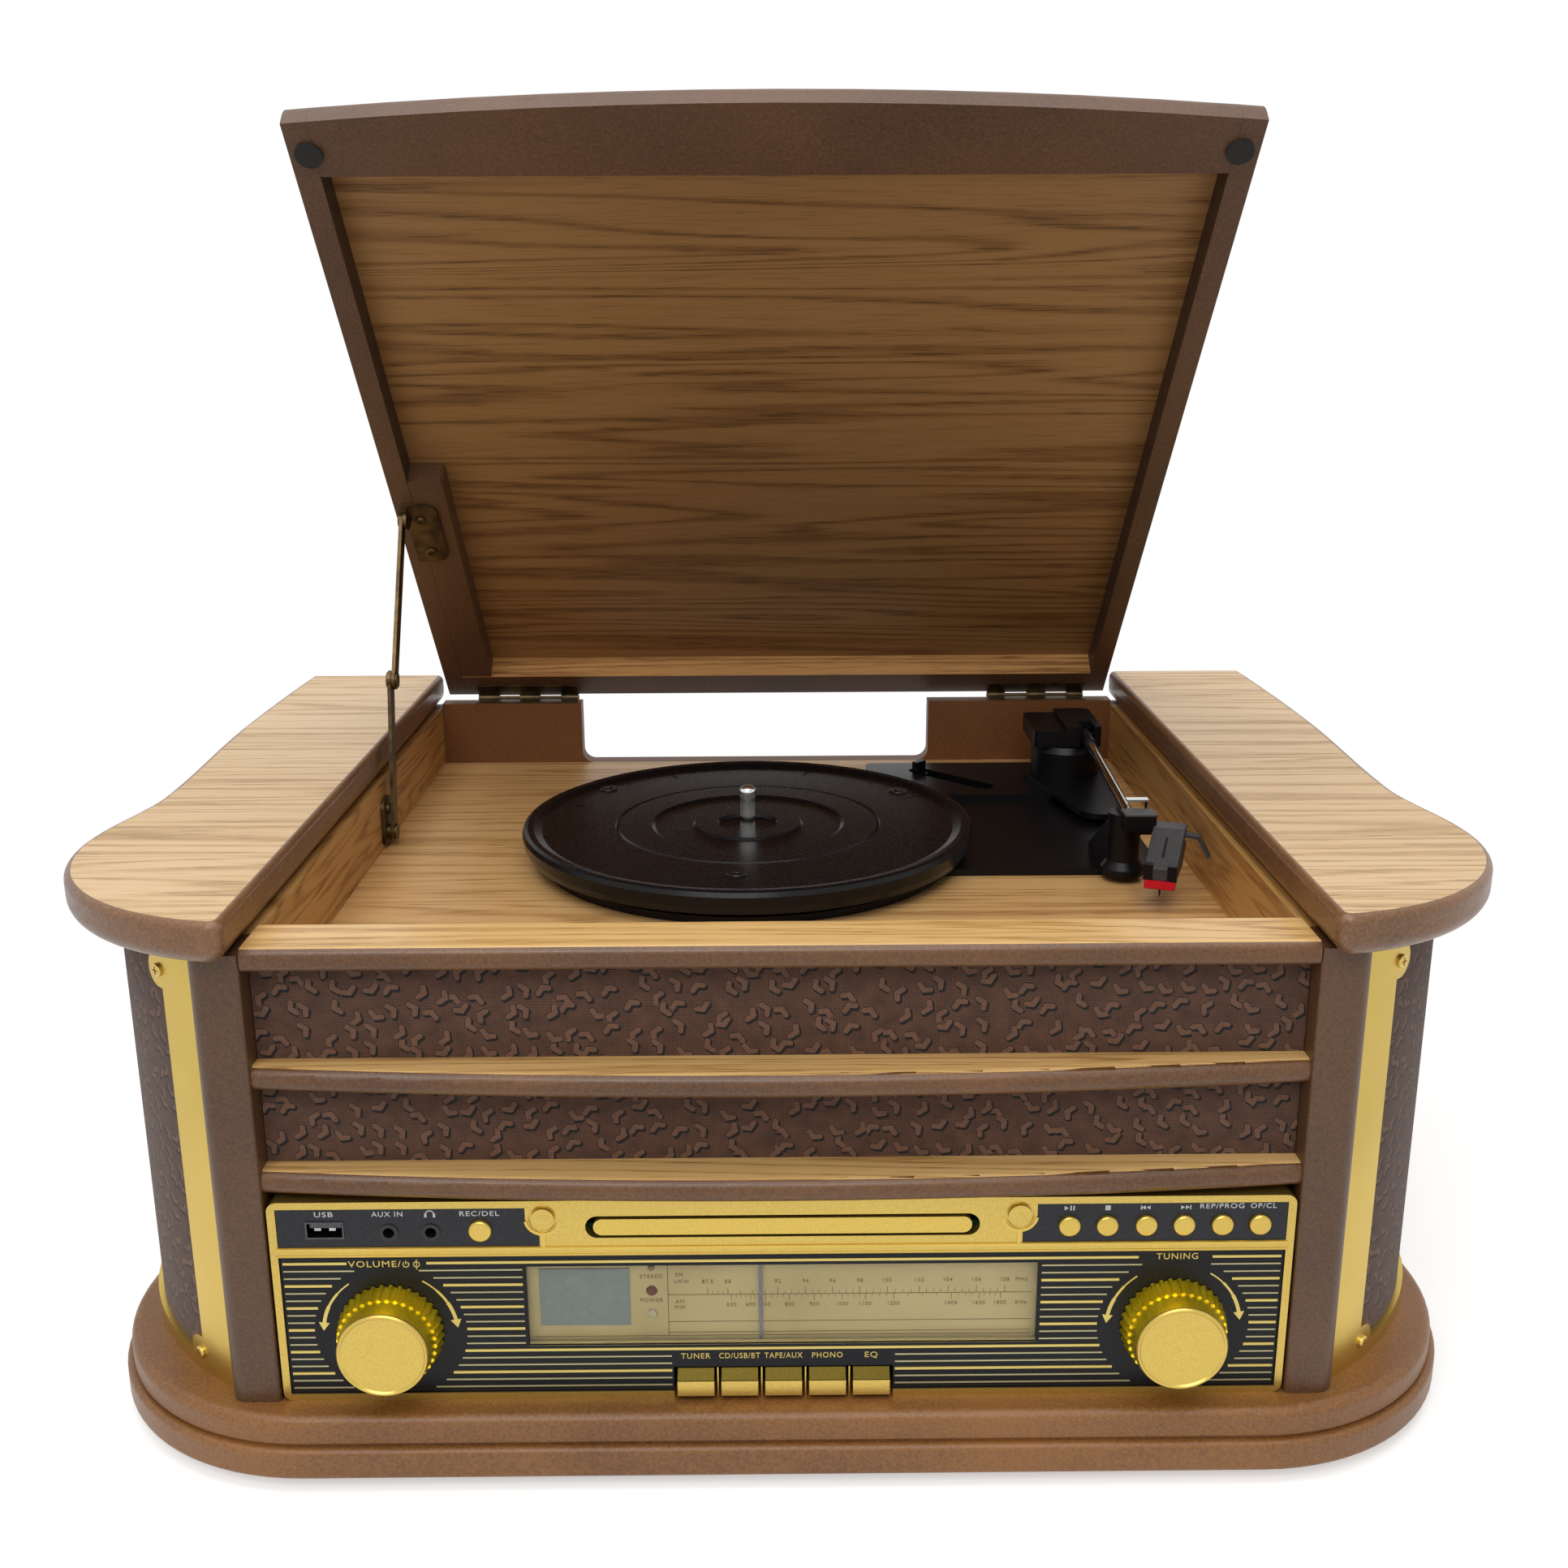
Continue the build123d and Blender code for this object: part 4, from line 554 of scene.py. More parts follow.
# Black inserts and round buttons
# Two satin black plates carry the sockets and seven plated buttons. The functions are
# printed on them in white, as words or as signs for play, pause, stop, back and forward.
satin = (("Specular IOR Level", 0.3),)
satin_tones = ((30, 31, 36), (44, 45, 51))
wear(flecked("satin_black", 1600, 3, satin_tones, (0.3, 0.42), 0.00002, (0.35, 0.65), satin), "black_inserts")
wear(plated, "record_button", "play_button", "stop_button", "previous_button", "next_button",
     "repeat_button", "open_button")
capital_share = 0.72
letter_gap = 1.15


def ink(name, color):
    dark = [c * 0.9 for c in color]
    return flecked(name, 1500, 2, (dark, color), (0.5, 0.65))


def print_words(name, words, made, height, y, thick=0.12, bold=0.02):
    """Words given by text, middle x, middle z and, where it was measured, width."""
    mesh = bmesh.new()
    for text, x, z, *width in words:
        curve = bpy.data.curves.new(name, "FONT")
        curve.body = text
        curve.size = height / capital_share
        curve.space_character = letter_gap
        curve.align_y = "CENTER"
        curve.offset = bold
        curve.extrude = thick / 2
        curve.resolution_u = 3
        letter = bpy.data.objects.new(name, curve)
        flat = bpy.data.meshes.new_from_object(letter)
        xs = [v.co.x for v in flat.vertices]
        stretch = width[0] / (max(xs) - min(xs)) if width else 1.0
        flat.transform(Matrix.Translation((-(min(xs) + max(xs)) / 2, 0, 0)))
        flat.transform(Matrix.Scale(stretch, 4, (1, 0, 0)))
        flat.transform(at(x, y, z) @ turned(90, "X") @ Matrix.Scale(0.001, 4))
        mesh.from_mesh(flat)
        bpy.data.meshes.remove(flat)
        bpy.data.objects.remove(letter)
        bpy.data.curves.remove(curve)
    bmesh.ops.remove_doubles(mesh, verts=mesh.verts[:], dist=1e-7)
    bmesh.ops.recalc_face_normals(mesh, faces=mesh.faces[:])
    new_piece(name, mesh, made, "cabinet")


def add_cone(mesh, stand, foot, top, height, around=32):
    """A cone, post or flat plate along z, given by its two radii and height in mm."""
    bmesh.ops.create_cone(mesh, cap_ends=True, segments=around, radius1=foot / 1000, radius2=top / 1000,
                          depth=height / 1000, matrix=stand)


def add_wedge(mesh, x, z, size, heading, y):
    """A three-cornered plate that points along a heading in degrees."""
    stand = at(x, (y[0] + y[1]) / 2, z) @ turned(-heading, "Y") @ turned(90, "X") @ turned(-90, "Z")
    add_cone(mesh, stand, size, size, y[1] - y[0], 3)


white_ink = ink("white_ink", (214, 214, 212))
insert_y = -177.15
insert_letters = 1.9
insert_words = [("USB", -154.5, 99.8, 6.3), ("AUX IN", -133.2, 99.8, 10.5), ("REC/DEL", -102.1, 99.8, 13.4)]
insert_words += [("REP/PROG", 148.4, 100.4, 14.9), ("OP/CL", 162.4, 100.4, 8.8)]
print_words("insert_words", insert_words, white_ink, insert_letters, insert_y)

sign_front = insert_y - 0.06
sign_back = insert_y + 0.06
sign_y = (sign_front, sign_back)
sign_height = 100.1
headphones = (-118.8, 99.6)
band_radius = 1.45
signs = bmesh.new()
add_wedge(signs, 95.6, sign_height, 0.95, 0, sign_y)
for low, high in ((97.05, 97.55), (98.05, 98.55), (108.9, 110.7)):
    add_bar(signs, (low, sign_front, 99.2), (high, sign_back, 101.0))
for x, heading, side in ((123.0, 180, -1), (135.8, 0, 1)):
    for shift in (-0.9, 0.7):
        add_wedge(signs, x + shift, sign_height, 0.85, heading, sign_y)
    stop = x + side * 1.9
    add_bar(signs, (stop - 0.2, sign_front, 99.3), (stop + 0.2, sign_back, 100.9))
add_arc(signs, headphones, band_radius, 0.35, -20, 220, sign_y)
for side in (-1, 1):
    shell = headphones[0] + side * band_radius
    add_bar(signs, (shell - 0.4, sign_front - 0.01, 98.6), (shell + 0.4, sign_back, 100.0))
new_piece("control_signs", signs, white_ink, "cabinet")

# Sockets
# The USB socket has a dark steel shell with two bright contacts, and the two round jacks
# have black bodies. All three open through the left insert.
jacks_from = -144.5
made, tree, shader = finish("socket_steel")
speck = noise(tree, place(tree, (1, 1, 6)), 900, 2)
is_jack = maths(tree, "GREATER_THAN", position(tree)["X"], jacks_from / 1000)
steel = shade(tree, speck, (70, 70, 74), (96, 96, 100), (0.3, 0.7))
dull = shade(tree, speck, (14, 14, 15), (26, 26, 28), (0.3, 0.7))
lay_on(tree, shader, blend(tree, is_jack, steel, dull), speck, (0.25, 0.4),
       levels=(("Metallic", maths(tree, "SUBTRACT", 1.0, is_jack)),))
wear(made, "front_sockets")
steel_tones = ((168, 168, 166), (206, 206, 204))
bright_steel = flecked("bright_steel", 1200, 3, steel_tones, (0.24, 0.36), levels=(("Metallic", 0.9),),
                       stretch=(1, 1, 0.05))
contact_half = 1.1
contacts = bmesh.new()
for x in (-157.0, -152.0):
    add_bar(contacts, (x - contact_half, -176.6, 93.5), (x + contact_half, -172.0, 94.5))
new_piece("usb_contacts", contacts, bright_steel, "cabinet")

# Lines on the fascia
# Raised strips across the black field, every third one thick and gold, the others
# thin and silver. They stop short of the knobs' round fields, the window and the keys.
line_gold = gold("line_gold", (212, 190, 104), (228, 206, 120), (0.3, 0.4), 0.5)
line_silver = gold("line_silver", (176, 168, 128), (196, 190, 148), (0.3, 0.4), 0.5)
field_y = -176.4
field_half = 170.0
field_centres = ((-134.9, 54.2), (134.4, 54.6))
field_radius = 26.2
top_line_gaps = ((-148.3, -121.2), (121.3, 146.5))
window_sides = (-88.8, 88.4)
window_rise = (48, 79)
key_sides = (-38.6, 38.7)
key_top = 45
top_line = 80.85
line_pitch = 2.861
line_count = 18
line_rise = 0.3
thick_half = 0.45
thin_half = 0.24
shortest_line = 1.0
field_root = 0.05
thick_lines = bmesh.new()
thin_lines = bmesh.new()
for i in range(line_count):
    z = top_line - i * line_pitch
    half = thin_half if i % 3 else thick_half
    spans = [(-field_half, field_half)]
    if window_rise[0] - half < z < window_rise[1] + half:
        spans = [(-field_half, window_sides[0]), (window_sides[1], field_half)]
    elif z < key_top:
        spans = [(-field_half, key_sides[0]), (key_sides[1], field_half)]
    for (middle, height), gap in zip(field_centres, top_line_gaps):
        reach = field_radius ** 2 - (z - height) ** 2
        if i > 0 and reach <= 0:
            continue
        start, end = gap if i == 0 else (middle - math.sqrt(reach), middle + math.sqrt(reach))
        before = [(low, min(high, start)) for low, high in spans if low < start]
        spans = before + [(max(low, end), high) for low, high in spans if high > end]
    for low, high in spans:
        if high - low > shortest_line:
            lines = thin_lines if i % 3 else thick_lines
            add_bar(lines, (low, field_y - line_rise, z - half), (high, field_y + field_root, z + half))
new_piece("fascia_gold_lines", thick_lines, line_gold, "cabinet")
new_piece("fascia_silver_lines", thin_lines, line_silver, "cabinet")


# Knobs
# Plated caps pushed on their shafts: a toothed skirt with 36 ridges, a smooth side that
# tapers and shows an olive gold, and a dished, brighter face with a rim.
def plated_in_two(name, axis, limit, below, past):
    """Plating with one pair of tones below a limit in mm along an axis, and one past it."""
    made, tree, shader = finish(name)
    speck = noise(tree, place(tree), *plated_speck)
    beyond = maths(tree, "GREATER_THAN", position(tree)[axis], limit / 1000)
    color = blend(tree, beyond, shade(tree, speck, *below), shade(tree, speck, *past))
    lay_on(tree, shader, color, speck, plated_rough, plated_relief, levels=(("Metallic", 0.9),))
    return made


def add_turned(mesh, profile, centre):
    """A profile of radius and y, turned once round an axis along y."""
    part = bmesh.new()
    points = [part.verts.new((r / 1000, y / 1000, 0)) for r, y in profile]
    edges = [part.edges.new(pair) for pair in zip(points, points[1:])]
    bmesh.ops.spin(part, geom=points + edges, axis=(0, 1, 0), cent=(0, 0, 0), angle=2 * math.pi, steps=96,
                   use_merge=True)
    bmesh.ops.remove_doubles(part, verts=part.verts[:], dist=1e-7)
    bmesh.ops.recalc_face_normals(part, faces=part.faces[:])
    bmesh.ops.translate(part, verts=part.verts[:], vec=(centre[0] / 1000, 0, centre[1] / 1000))
    pour(part, mesh)


dished_from = -189.9
knob_gold = plated_in_two("knob_gold", "Y", dished_from, ((200, 172, 86), (212, 184, 98)),
                          ((242, 214, 36), (252, 226, 50)))
knob_profile = ((0, -183.0), (16.6, -183.0), (16.3, -184.2), (15.5, -190.6), (15.1, -191.2), (14.5, -191.2),
                (14.0, -190.7), (12.0, -190.4), (0, -190.2))
knob_height = 54.4
ridges_round = 36
skirt_steps = ridges_round * 4
ridge_depth = 0.9
for name, body, x in (("volume_knob", "volume", -134.9), ("tuning_knob", "tuning", 134.4)):
    knob = bmesh.new()
    add_cone(knob, at(x, -180.3, knob_height) @ turned(90, "X"), 18.4, 17.1, 7, skirt_steps)
    for vert in knob.verts:
        across = Vector((vert.co.x - x / 1000, 0, vert.co.z - knob_height / 1000))
        step = round(math.atan2(across.z, across.x) / (2 * math.pi) * skirt_steps)
        if step % 4 in (0, 1):
            vert.co -= across.normalized() * ridge_depth / 1000
    add_turned(knob, knob_profile, (x, knob_height))
    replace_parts(new_piece(name + "_cap", knob, knob_gold, body), name)

# Arrows and words round the knobs
# Gold crescents with small heads on both sides of each knob, and printed above them the
# functions and the signs for on and off.
gold_ink = ink("gold_ink", (236, 210, 116))
arrow_radius = 23.0
arrow_head = 2.1
arrow_rise = 0.25
arrow_arcs = ((0.0, 0.5, 0.5), (0.3, 0.6, 0.85), (0.6, 0.38, 1.25))
field_letters = 2.4
sign_middle = 80.3
sign_radius = 1.0
sign_line = 0.32


def add_arrow(mesh, centre, start, sweep):
    """A crescent of three arcs that swells towards its head."""
    front = field_y - arrow_rise
    back = field_y + field_root
    for n, (begin, share, width) in enumerate(arrow_arcs):
        add_arc(mesh, centre, arrow_radius, width, start + sweep * begin, sweep * share,
                (front - 0.01 * n, back))
    tip = math.radians(start + sweep)
    x = centre[0] + arrow_radius * math.cos(tip)
    z = centre[1] + arrow_radius * math.sin(tip)
    heading = start + sweep + (90 if sweep > 0 else -90)
    add_wedge(mesh, x, z, arrow_head, heading, (front - 0.03, back))


arrows = bmesh.new()
for centre in field_centres:
    add_arrow(arrows, centre, 59, -50)
    add_arrow(arrows, centre, 125, 48)
new_piece("knob_arrows", arrows, line_gold, "cabinet")
field_words = [("VOLUME/", -138.9, 80.4, 17.9), ("TUNING", 134.5, 80.9, 14.2)]
print_words("field_words", field_words, gold_ink, field_letters, field_y - 0.05)
power_front = field_y - 0.11
power_back = field_y + 0.01
power = bmesh.new()
for x, start, sweep, front, low, high in ((-128.2, 120, 300, power_front, 80.4, 81.8),
                                          (-124.6, 0, 359, power_front - 0.02, 78.4, 82.2)):
    add_arc(power, (x, sign_middle), sign_radius, sign_line, start, sweep, (power_front, power_back))
    add_bar(power, (x - sign_line / 2, front, low), (x + sign_line / 2, power_back, high))
new_piece("power_signs", power, gold_ink, "cabinet")


# Selector keys
# Five plated wedges in a row, each with a bright upright front, a sloping upper face and a
# flat top behind it. The slope and the top are painted a dark olive, a painted reflection of
# the darker surroundings above. Gold words on the field name them.
def prism(section, low, high, stand=None):
    """A closed section in y and z, drawn out along x, then set in its place."""
    part = bmesh.new()
    corners = [part.verts.new((low / 1000, y / 1000, z / 1000)) for y, z in section]
    side = bmesh.ops.contextual_create(part, geom=corners)["faces"]
    drawn = bmesh.ops.extrude_face_region(part, geom=side)["geom"]
    moved = [v for v in drawn if isinstance(v, bmesh.types.BMVert)]
    bmesh.ops.translate(part, verts=moved, vec=((high - low) / 1000, 0, 0))
    if stand is not None:
        bmesh.ops.transform(part, matrix=stand, verts=part.verts[:])
    bmesh.ops.recalc_face_normals(part, faces=part.faces[:])
    return part


# Above this height the plating has a dark olive tone: a painted reflection of the darker surroundings above
# the keys.
sloping_from = 35.4
key_gold_painted_reflection = plated_in_two("key_gold_painted_reflection", "Z", sloping_from, ((204, 174, 90), (218, 188, 102)),
                         ((60, 50, 9), (72, 60, 14)))
key_section = ((-172.0, 29.5), (-179.6, 29.5), (-179.6, 35.6), (-176.6, 38.9), (-172.0, 38.9))
key_half = 6.45
key_pitch = 15.2
keys_middle = 0.05
key_letters = 2.2
key_words_height = 43.4
keys = (("tuner_key", "TUNER", 10.2), ("disc_key", "CD/USB/BT", 14.2), ("tape_key", "TAPE/AUX", 13.2),
        ("phono_key", "PHONO", 10.6), ("tone_key", "EQ", 4.4))
key_words = []
for i, (name, word, width) in enumerate(keys):
    middle = keys_middle + (i - 2) * key_pitch
    key = prism(key_section, middle - key_half, middle + key_half)
    soften(key, 0.2)
    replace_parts(new_piece(name + "_cap", key, key_gold_painted_reflection, name + "_body"), name)
    key_words.append((word, middle, key_words_height, width))
print_words("key_words", key_words, gold_ink, key_letters, field_y - 0.05)


# Dial plate with its print
# A cream card with the grey display, two lamps and a sensor. Two scales with ticks and
# numbers and three rules are printed on it in brown.
def moulded(name, dark, light, rough=(0.3, 0.42)):
    levels = (("Specular IOR Level", 0.22),)
    return flecked(name, 1400, 3, (dark, light), rough, 0.00002, (0.35, 0.65), levels)


card_finish = flecked("dial_card", 12, 2, ((186, 167, 122), (200, 182, 138)), (0.45, 0.55))
display_finish = flecked("display_glass", 500, 3, ((118, 128, 130), (128, 138, 140)), (0.35, 0.45))
card_y = -172.0
card = bmesh.new()
add_bar(card, (-91.8, card_y, 44.0), (91.4, card_y + 1.0, 83.0))
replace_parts(new_piece("dial_card", card, card_finish, "cabinet"), "dial_scale")
display = bmesh.new()
add_bar(display, (-83.9, card_y - 0.4, 53.5), (-52.8, card_y + 0.2, 75.6))
new_piece("dial_display", display, display_finish, "cabinet")
lamp_x = -45.3
lamp_rise = 0.8
for name, z, radius, tones in (("stereo_lamp", 66.7, 2.0, ((96, 58, 46), (122, 78, 62))),
                               ("power_lamp", 57.8, 2.0, ((172, 162, 134), (198, 188, 160))),
                               ("dial_sensor", 75.7, 1.2, ((124, 108, 78), (150, 132, 98)))):
    lamp = bmesh.new()
    stand = at(lamp_x, card_y - lamp_rise / 2 + 0.05, z) @ turned(90, "X")
    add_cone(lamp, stand, radius, radius * 0.75, lamp_rise + 0.1)
    new_piece(name, lamp, moulded(name + "_lens", *tones, (0.2, 0.3)), "cabinet")

brown_ink = ink("brown_ink", (128, 98, 62))
print_front = card_y - 0.08
print_back = card_y + 0.04
scale_height = 65.0
scale_start = -39.7
scale_end = 86.0
rules = bmesh.new()
add_bar(rules, (scale_start - 0.12, print_front, 48.9), (scale_start + 0.12, print_back, 79.0))
for z, start in ((scale_height, scale_start), (54.4, scale_start), (50.2, scale_start), (48.9, -scale_end)):
    add_bar(rules, (start, print_front + 0.01, z - 0.11), (scale_end, print_back, z + 0.11))
fm_places = ((87.5, -26.0), (88, -19.0), (92, -1.8), (94, 7.8), (96, 17.1), (98, 26.5), (100, 36.0),
             (102, 47.1), (104, 57.0), (106, 66.8), (108, 76.6))
am_places = ((530, -17.8), (600, -11.2), (700, -6.0), (800, 2.2), (900, 10.8), (1000, 20.5), (1100, 28.5),
             (1200, 38.3), (1400, 58.2), (1600, 67.8), (1800, 75.2))
steps_between = 4
long_half = 0.11
short_half = 0.08
short_share = 0.6
number_letters = 1.5
fm_numbers = 70.0
am_numbers = 60.9


def add_tick(mesh, x, half, rise):
    foot, head = sorted((scale_height, scale_height + rise))
    add_bar(mesh, (x - half, print_front + 0.02, foot), (x + half, print_back, head))


def add_ticks(mesh, places, rise):
    """Long ticks at the numbers and short ones between, standing on or hanging from the scale."""
    xs = [x for _, x in places]
    for x in xs:
        add_tick(mesh, x, long_half, rise)
    for x, following in zip(xs, xs[1:]):
        for n in range(1, steps_between):
            add_tick(mesh, x + (following - x) * n / steps_between, short_half, rise * short_share)


add_ticks(rules, fm_places, 2.6)
add_ticks(rules, am_places, -2.4)
new_piece("dial_rules", rules, brown_ink, "cabinet")
numbers = [(f"{n:g}", x, fm_numbers) for n, x in fm_places]
numbers += [(f"{n:g}", x, am_numbers) for n, x in am_places]
numbers += [("MHz", 82.4, fm_numbers), ("KHz", 82.4, am_numbers), ("FM", -35.7, 72.6), ("UKW", -34.9, 70.1)]
numbers += [("AM", -35.7, 62.2), ("MW", -35.5, 60.0), ("STEREO", lamp_x, 72.2), ("POWER", lamp_x, 62.9)]
print_words("dial_numbers", numbers, brown_ink, number_letters, card_y - 0.04, 0.1, 0.0)

# Pointer and dial window
# A grey steel blade slides in front of the card. The clear moulded pane over both has a
# faint smoky tone and closes the fascia's opening.
wear(gold("pointer_grey", (104, 106, 120), (128, 130, 144), (0.3, 0.4), 0.3), "dial_pointer")
clear = (("Transmission Weight", 1.0), ("IOR", 1.2))
pane_tones = ((238, 238, 230), (246, 246, 240))
wear(flecked("clear_pane", 40, 2, pane_tones, (0.02, 0.05), levels=clear), "dial_window")

# Disc tray
# A black moulded drawer that runs out of the slot. Only its front bar, seen in the slot,
# is gold.
drawer_from = -174.35
made, tree, shader = finish("tray_gold_and_black")
speck = noise(tree, place(tree), 1600, 3)
bar_tone = shade(tree, speck, (202, 172, 84), (216, 186, 96))
drawer_tone = shade(tree, speck, (22, 22, 24), (34, 34, 36))
drawer = maths(tree, "GREATER_THAN", position(tree)["Y"], drawer_from / 1000)
lay_on(tree, shader, blend(tree, drawer, bar_tone, drawer_tone), speck, plated_rough, plated_relief,
       levels=(("Metallic", maths(tree, "MULTIPLY_ADD", drawer, -0.9, 0.9)),))
wear(made, "cd_tray")

# Electronics, motor and pulley
# The circuit board, disc housing and transformer stand inside the cabinet. The motor
# hangs under the mechanism plate and turns a small pulley of bright steel.
wear(flecked("board_and_housings", 300, 3, ((22, 54, 34), (36, 74, 48)), (0.5, 0.7)), "electronics")
motor_levels = (("Metallic", 0.7),)
wear(flecked("motor_steel", 400, 3, ((60, 60, 64), (84, 84, 88)), (0.4, 0.55), levels=motor_levels), "motor")
wear(bright_steel, "motor_pulley")

# Mechanism plate and platter
# Moulded black plastic with a fine satin, as are the arm's pedestal, block and rest, the
# speed selector and the lead's gland. The platter has three small plugs and eight grooves,
# drawn as thin strips of a darker black: painted shade in the grooves.
black = moulded("black_moulding", (5, 4, 8), (13, 12, 15))
platter_black = moulded("platter_black", (9, 8, 11), (17, 16, 19), (0.22, 0.32))
wear(black, "mechanism_plate", "tonearm_turret", "tonearm_carriage", "speed_selector", "arm_rest",
     "cord_gland")
wear(platter_black, "platter")
platter_centre = (-13.3, 13.4)
plugs = bmesh.new()
for x, y in ((-78.7, 67.0), (55.4, 60.0), (-16.8, -55.5)):
    add_cone(plugs, at(x, y, 178.82), 4.5, 4.1, 0.6)
    add_cone(plugs, at(x, y, 179.32), 2.0, 1.6, 0.5, 24)
new_piece("platter_plugs", plugs, platter_black, "turning_platter")
# A darker, rougher black laid on the platter for the grooves: painted shade.
groove_painted_shade = moulded("groove_painted_shade", (5, 4, 5), (10, 9, 10), (0.6, 0.7))
groove_count = 8
first_groove = 26
grooves = bmesh.new()
for n in range(groove_count):
    spoke = at(*platter_centre, 178.62) @ turned(first_groove + 360 / groove_count * n, "Z")
    add_block(grooves, spoke @ at(85, 0, 0), (14, 0.9, 0.12))
new_piece("platter_grooves", grooves, groove_painted_shade, "turning_platter")

# Spindle and rest clip
# Plated steel, polished. The spindle stands in the middle of the platter, and the clip
# holds the arm on its rest.
plating = (("Metallic", 1.0),)
chrome = flecked("polished_plating", 120, 2, ((196, 196, 194), (222, 222, 220)), (0.1, 0.2), levels=plating)
wear(chrome, "spindle", "rest_clip")


# Arm tube and neck
# A plated tube runs from the pivot to the arm rest. A black block with a grey plate on
# top joins it to the headshell. A black sleeve covers the tube at the pivot.
def add_rod(mesh, start, end, radius):
    start = Vector(start) / 1000
    end = Vector(end) / 1000
    run = end - start
    stand = Matrix.Translation((start + end) / 2) @ run.to_track_quat("Z", "Y").to_matrix().to_4x4()
    add_cone(mesh, stand, radius, radius, run.length * 1000)


tube_rear = Vector((150.5, 112.0, 191.8))
tube_front = Vector((141.9, -32.0, 195.3))
pivot_half = Vector((6.0, 0, 0))
tube = bmesh.new()
add_rod(tube, tube_rear, tube_front, 2.05)
tube_piece = new_piece("tonearm_tube_bright", tube, chrome, "arm")
sleeve = bmesh.new()
add_rod(sleeve, tube_rear.lerp(tube_front, -0.01), tube_rear.lerp(tube_front, 0.16), 2.9)
add_rod(sleeve, tube_rear - pivot_half, tube_rear + pivot_half, 1.6)
add_bar(sleeve, (139.4, -39.4, 189.2), (151.8, -30.6, 195.6))
add_bar(sleeve, (151.4, -39.0, 189.6), (156.0, -34.8, 191.9))
sleeve_piece = new_piece("tonearm_sleeve_and_neck", sleeve, black, "arm")
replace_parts(sleeve_piece, "tonearm_tube")
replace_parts(tube_piece, "tonearm_tube")

# Headshell
# Grey moulding with a flat back, a sloping top with a dark slot and a bent finger lift.
# Its nose has black cheeks.
shell_grey = moulded("headshell_grey", (58, 56, 57), (72, 70, 71), (0.4, 0.5))
shell_stand = at(159.2, -34.6, 192) @ turned(-20, "Z")
shell_half = 6.3
shell_section = ((0, 0), (-9, 0), (-33, -9.5), (-33, -14.5), (-12, -14.5), (-12, -7), (0, -7))
shell = prism(shell_section, -shell_half, shell_half, shell_stand)
soften(shell, 0.4)
plate = bmesh.new()
add_bar(plate, (139.0, -39.8, 195.6), (152.2, -30.2, 196.5))
soften(plate, 0.2)
pour(plate, shell)
lift_bends = ((6.1, -2.6), (11.5, -3.2), (15.6, -10.6))
lift = bmesh.new()
for (x0, z0), (x1, z1) in zip(lift_bends, lift_bends[1:]):
    middle = at((x0 + x1) / 2, -6.5, (z0 + z1) / 2)
    lean = Matrix.Rotation(-math.atan2(z1 - z0, x1 - x0), 4, "Y")
    add_block(lift, shell_stand @ middle @ lean, (math.hypot(x1 - x0, z1 - z0) + 1, 5, 1.1))
pour(lift, shell)
shell_piece = new_piece("headshell_moulding", shell, shell_grey, "arm")
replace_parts(shell_piece, "headshell")
slope = Matrix.Rotation(math.atan2(9.5, 24), 4, "X")
dark_parts = bmesh.new()
add_block(dark_parts, shell_stand @ at(0, -20.5, -4.5) @ slope, (0.9, 12.5, 0.3))
for side in (-1, 1):
    add_block(dark_parts, shell_stand @ at(side * 4.6, -31.4, -11.3), (3.6, 3.8, 6.2))
new_piece("headshell_dark_parts", dark_parts, black, "arm")

# Stylus
# A red moulded carrier, pushed on under the nose of the headshell, with its needle.
# The needle is so thin that it looks black.
stylus_red = moulded("stylus_red", (196, 16, 34), (214, 26, 44), (0.25, 0.35))
wear(stylus_red, "stylus")
carrier_half = 5.9
carrier_section = ((-33.6, -14.4), (-33.6, -17.4), (-32.0, -18.4), (-24.0, -16.0), (-24.0, -14.4))
carrier = prism(carrier_section, -carrier_half, carrier_half, shell_stand)
red_carrier = new_piece("stylus_carrier", carrier, stylus_red, "arm")
needle = bmesh.new()
add_cone(needle, shell_stand @ at(0, -31, -19.6), 0.2, 0.6, 3.6, 16)
new_piece("stylus_needle", needle, black, "arm")
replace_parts(red_carrier, "stylus")

# Lid panel
# Thin board with oak veneer on both faces. The lid lies open at 47.2 degrees, and its
# figure runs along the width in long pointed arches. Its oak tones are darker than the deck's:
# painted shade.
lid_angle = math.radians(47.2)
lid_turn = (lid_angle, 0, 0)
# The same oak as the deck, made darker: a painted shade.
lid_oak_painted_shade = ((164, 124, 78), (144, 104, 60), (102, 69, 34))
wear(oak("lid_oak_painted_shade", "x", lid_oak_painted_shade, 0.8, (0.15, 0.35, 0.2), lid_turn), "lid_panel")

# Lid rails and stay block
# Stained fibreboard strips glued round the panel's edge, butted at the corners. The
# rear rail's face to the inside is veneered with oak.
lid_shut = (0, 0.20215, -0.0701)
rear_face = 163.0
rear_half = 163.1
butt_place = 163.2
strip_oak = ((216, 164, 102), (190, 138, 80), (136, 92, 46))
made, tree, shader = finish("lid_stain")
brown, fibre = stain(tree, (71, 46, 28), (103, 70, 46))
wood = oak_color(tree, "x", strip_oak, 1.5, (0.4, 0.1, 0), lid_turn)[0]
shut = node(tree, "SeparateXYZ", (0, place(tree, rotation=lid_turn, offset=lid_shut)))
off_middle = maths(tree, "ABSOLUTE", shut["X"])
between = maths(tree, "LESS_THAN", off_middle, rear_half / 1000)
veneered = maths(tree, "MULTIPLY", close_to(tree, shut["Y"], rear_face, 0.3), between)
color = blend(tree, close_to(tree, off_middle, butt_place, 0.2), brown, (*linear((60, 40, 28)), 1))
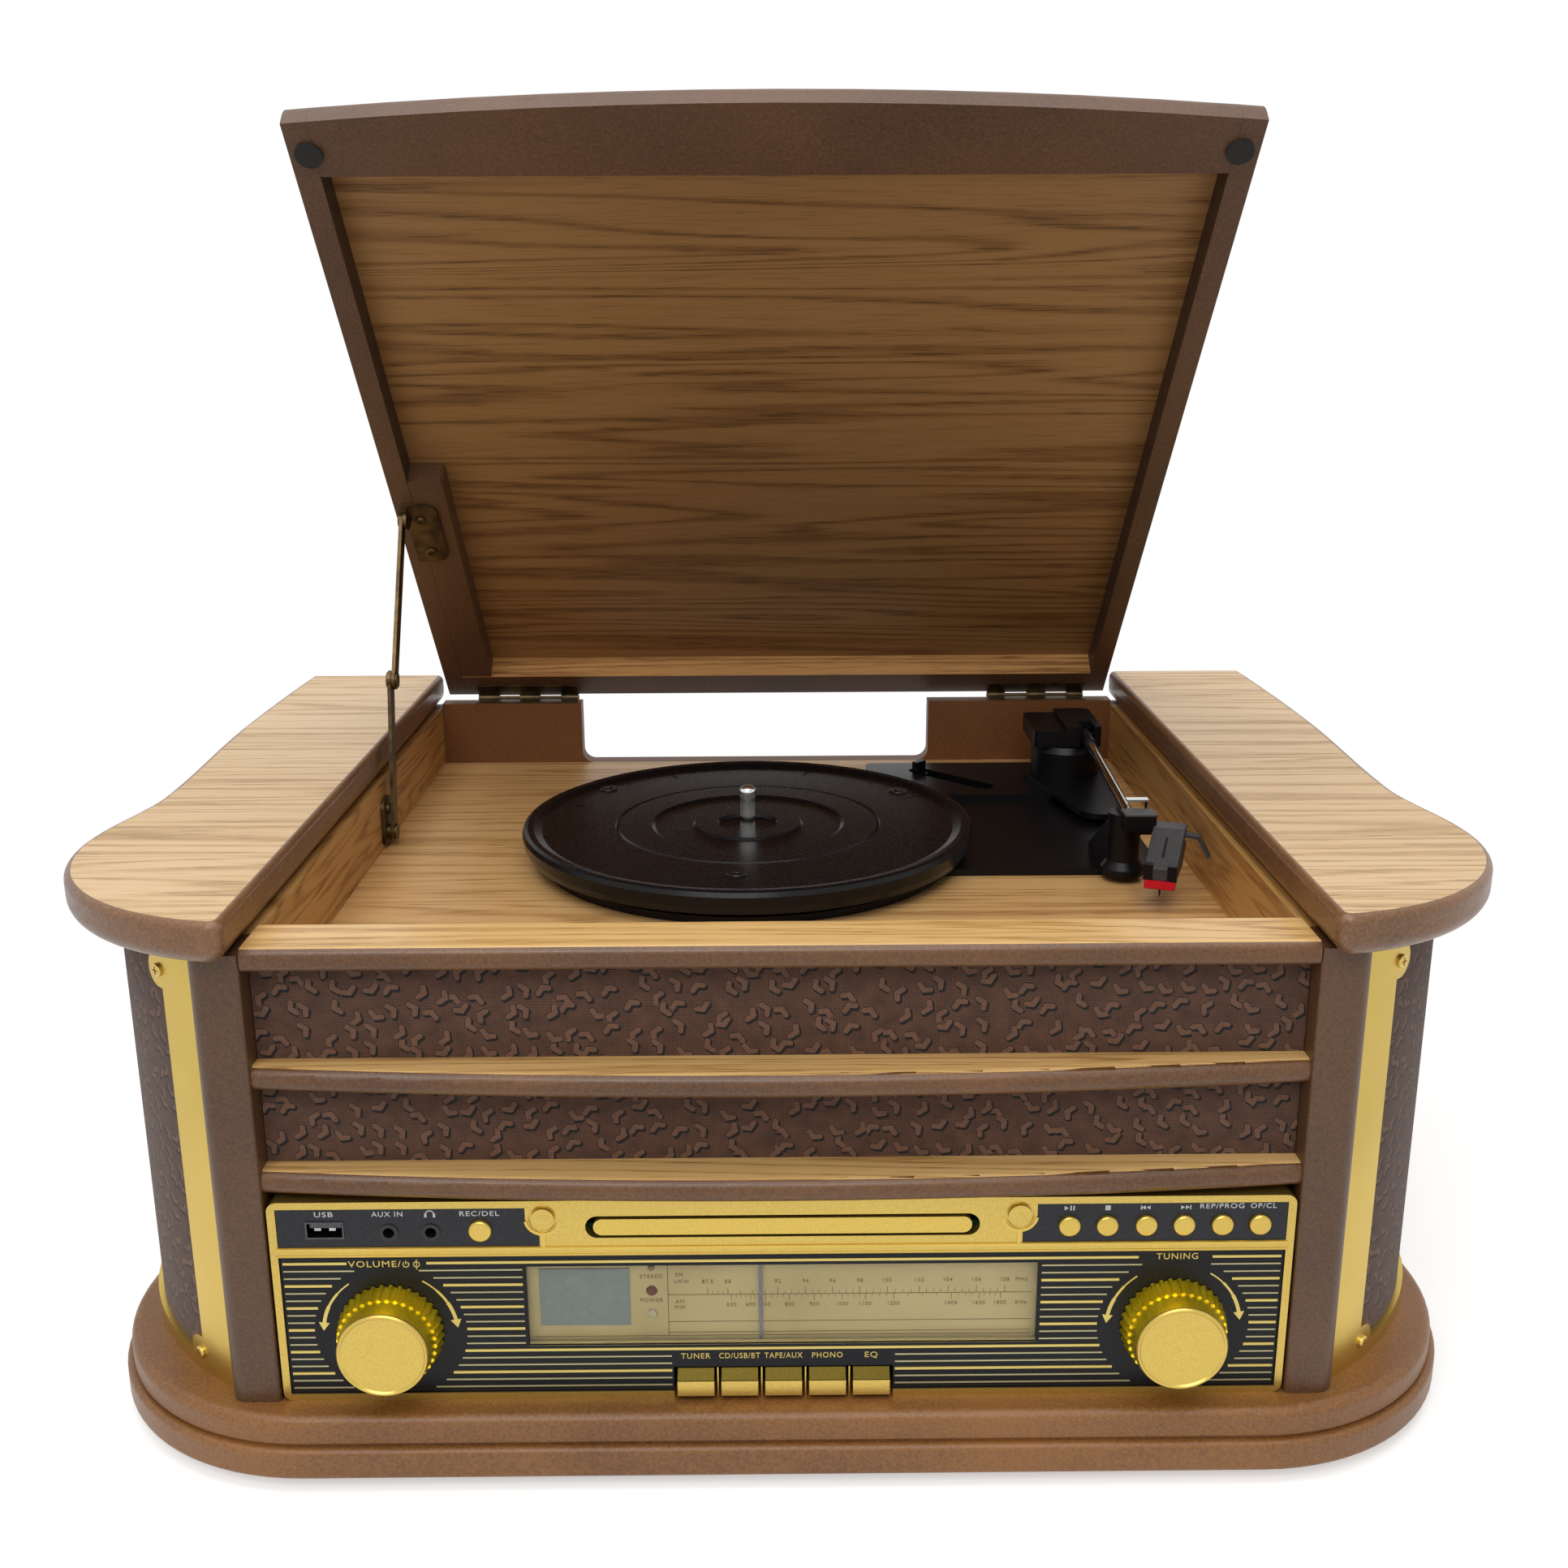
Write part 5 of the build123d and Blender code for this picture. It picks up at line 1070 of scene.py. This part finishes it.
lay_on(tree, shader, blend(tree, veneered, color, wood), fibre, (0.42, 0.55), 0.00005)
wear(made, "lid_rails")

# Hinges and folding stay
# Steel strip with a worn plating of antique bronze. Each hinge has a thin leaf on the back
# wall and one under the lid, and three knuckles on a pin, of which the middle is the lid's.
bronze = flecked("antique_bronze", 120, 4, ((62, 50, 34), (112, 92, 58)), (0.3, 0.5), 0.00003, (0.35, 0.7),
                 (("Metallic", 0.85),))
wear(bronze, "stay_wall_bracket", "stay_lower_arm", "stay_upper_arm", "stay_lid_bracket")
hinge_axis = (181.3, 196.3)
leaf_depths = (171.2, 179.2)
wall_level = (195.7, 196.1)
lid_level = (196.45, 196.9)
knuckle_radius = 1.9
pin_radius = 0.9
knuckle_sets = (((-157.0, -146.0), (-135.4, -124.7), (-113.7, -104.5)),
                ((111.0, 120.5), (132.0, 142.0), (153.0, 161.5)))
opened = at(0, *hinge_axis) @ Matrix.Rotation(-lid_angle, 4, "X") @ at(0, -hinge_axis[0], -hinge_axis[1])
wall_leaves = bmesh.new()
lid_leaves = bmesh.new()
for knuckles in knuckle_sets:
    low = knuckles[0][0]
    high = knuckles[-1][1]
    for leaves, (under, over) in ((wall_leaves, wall_level), (lid_leaves, lid_level)):
        add_bar(leaves, (low, leaf_depths[0], under), (high, leaf_depths[1], over))
    for n, (start, end) in enumerate(knuckles):
        leaves, (under, over) = (lid_leaves, lid_level) if n == 1 else (wall_leaves, wall_level)
        add_bar(leaves, (start, 178.8, under + 0.01), (end, hinge_axis[0], over - 0.01))
        add_rod(leaves, (start, *hinge_axis), (end, *hinge_axis), knuckle_radius)
    add_rod(wall_leaves, (low - 0.2, *hinge_axis), (high + 0.2, *hinge_axis), pin_radius)
bmesh.ops.transform(lid_leaves, matrix=opened, verts=lid_leaves.verts[:])
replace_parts(new_piece("wall_hinges", wall_leaves, bronze, "cabinet"), "wall_hinge_leaves")
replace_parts(new_piece("lid_hinges", lid_leaves, bronze, "lid"), "lid_hinge_leaves")
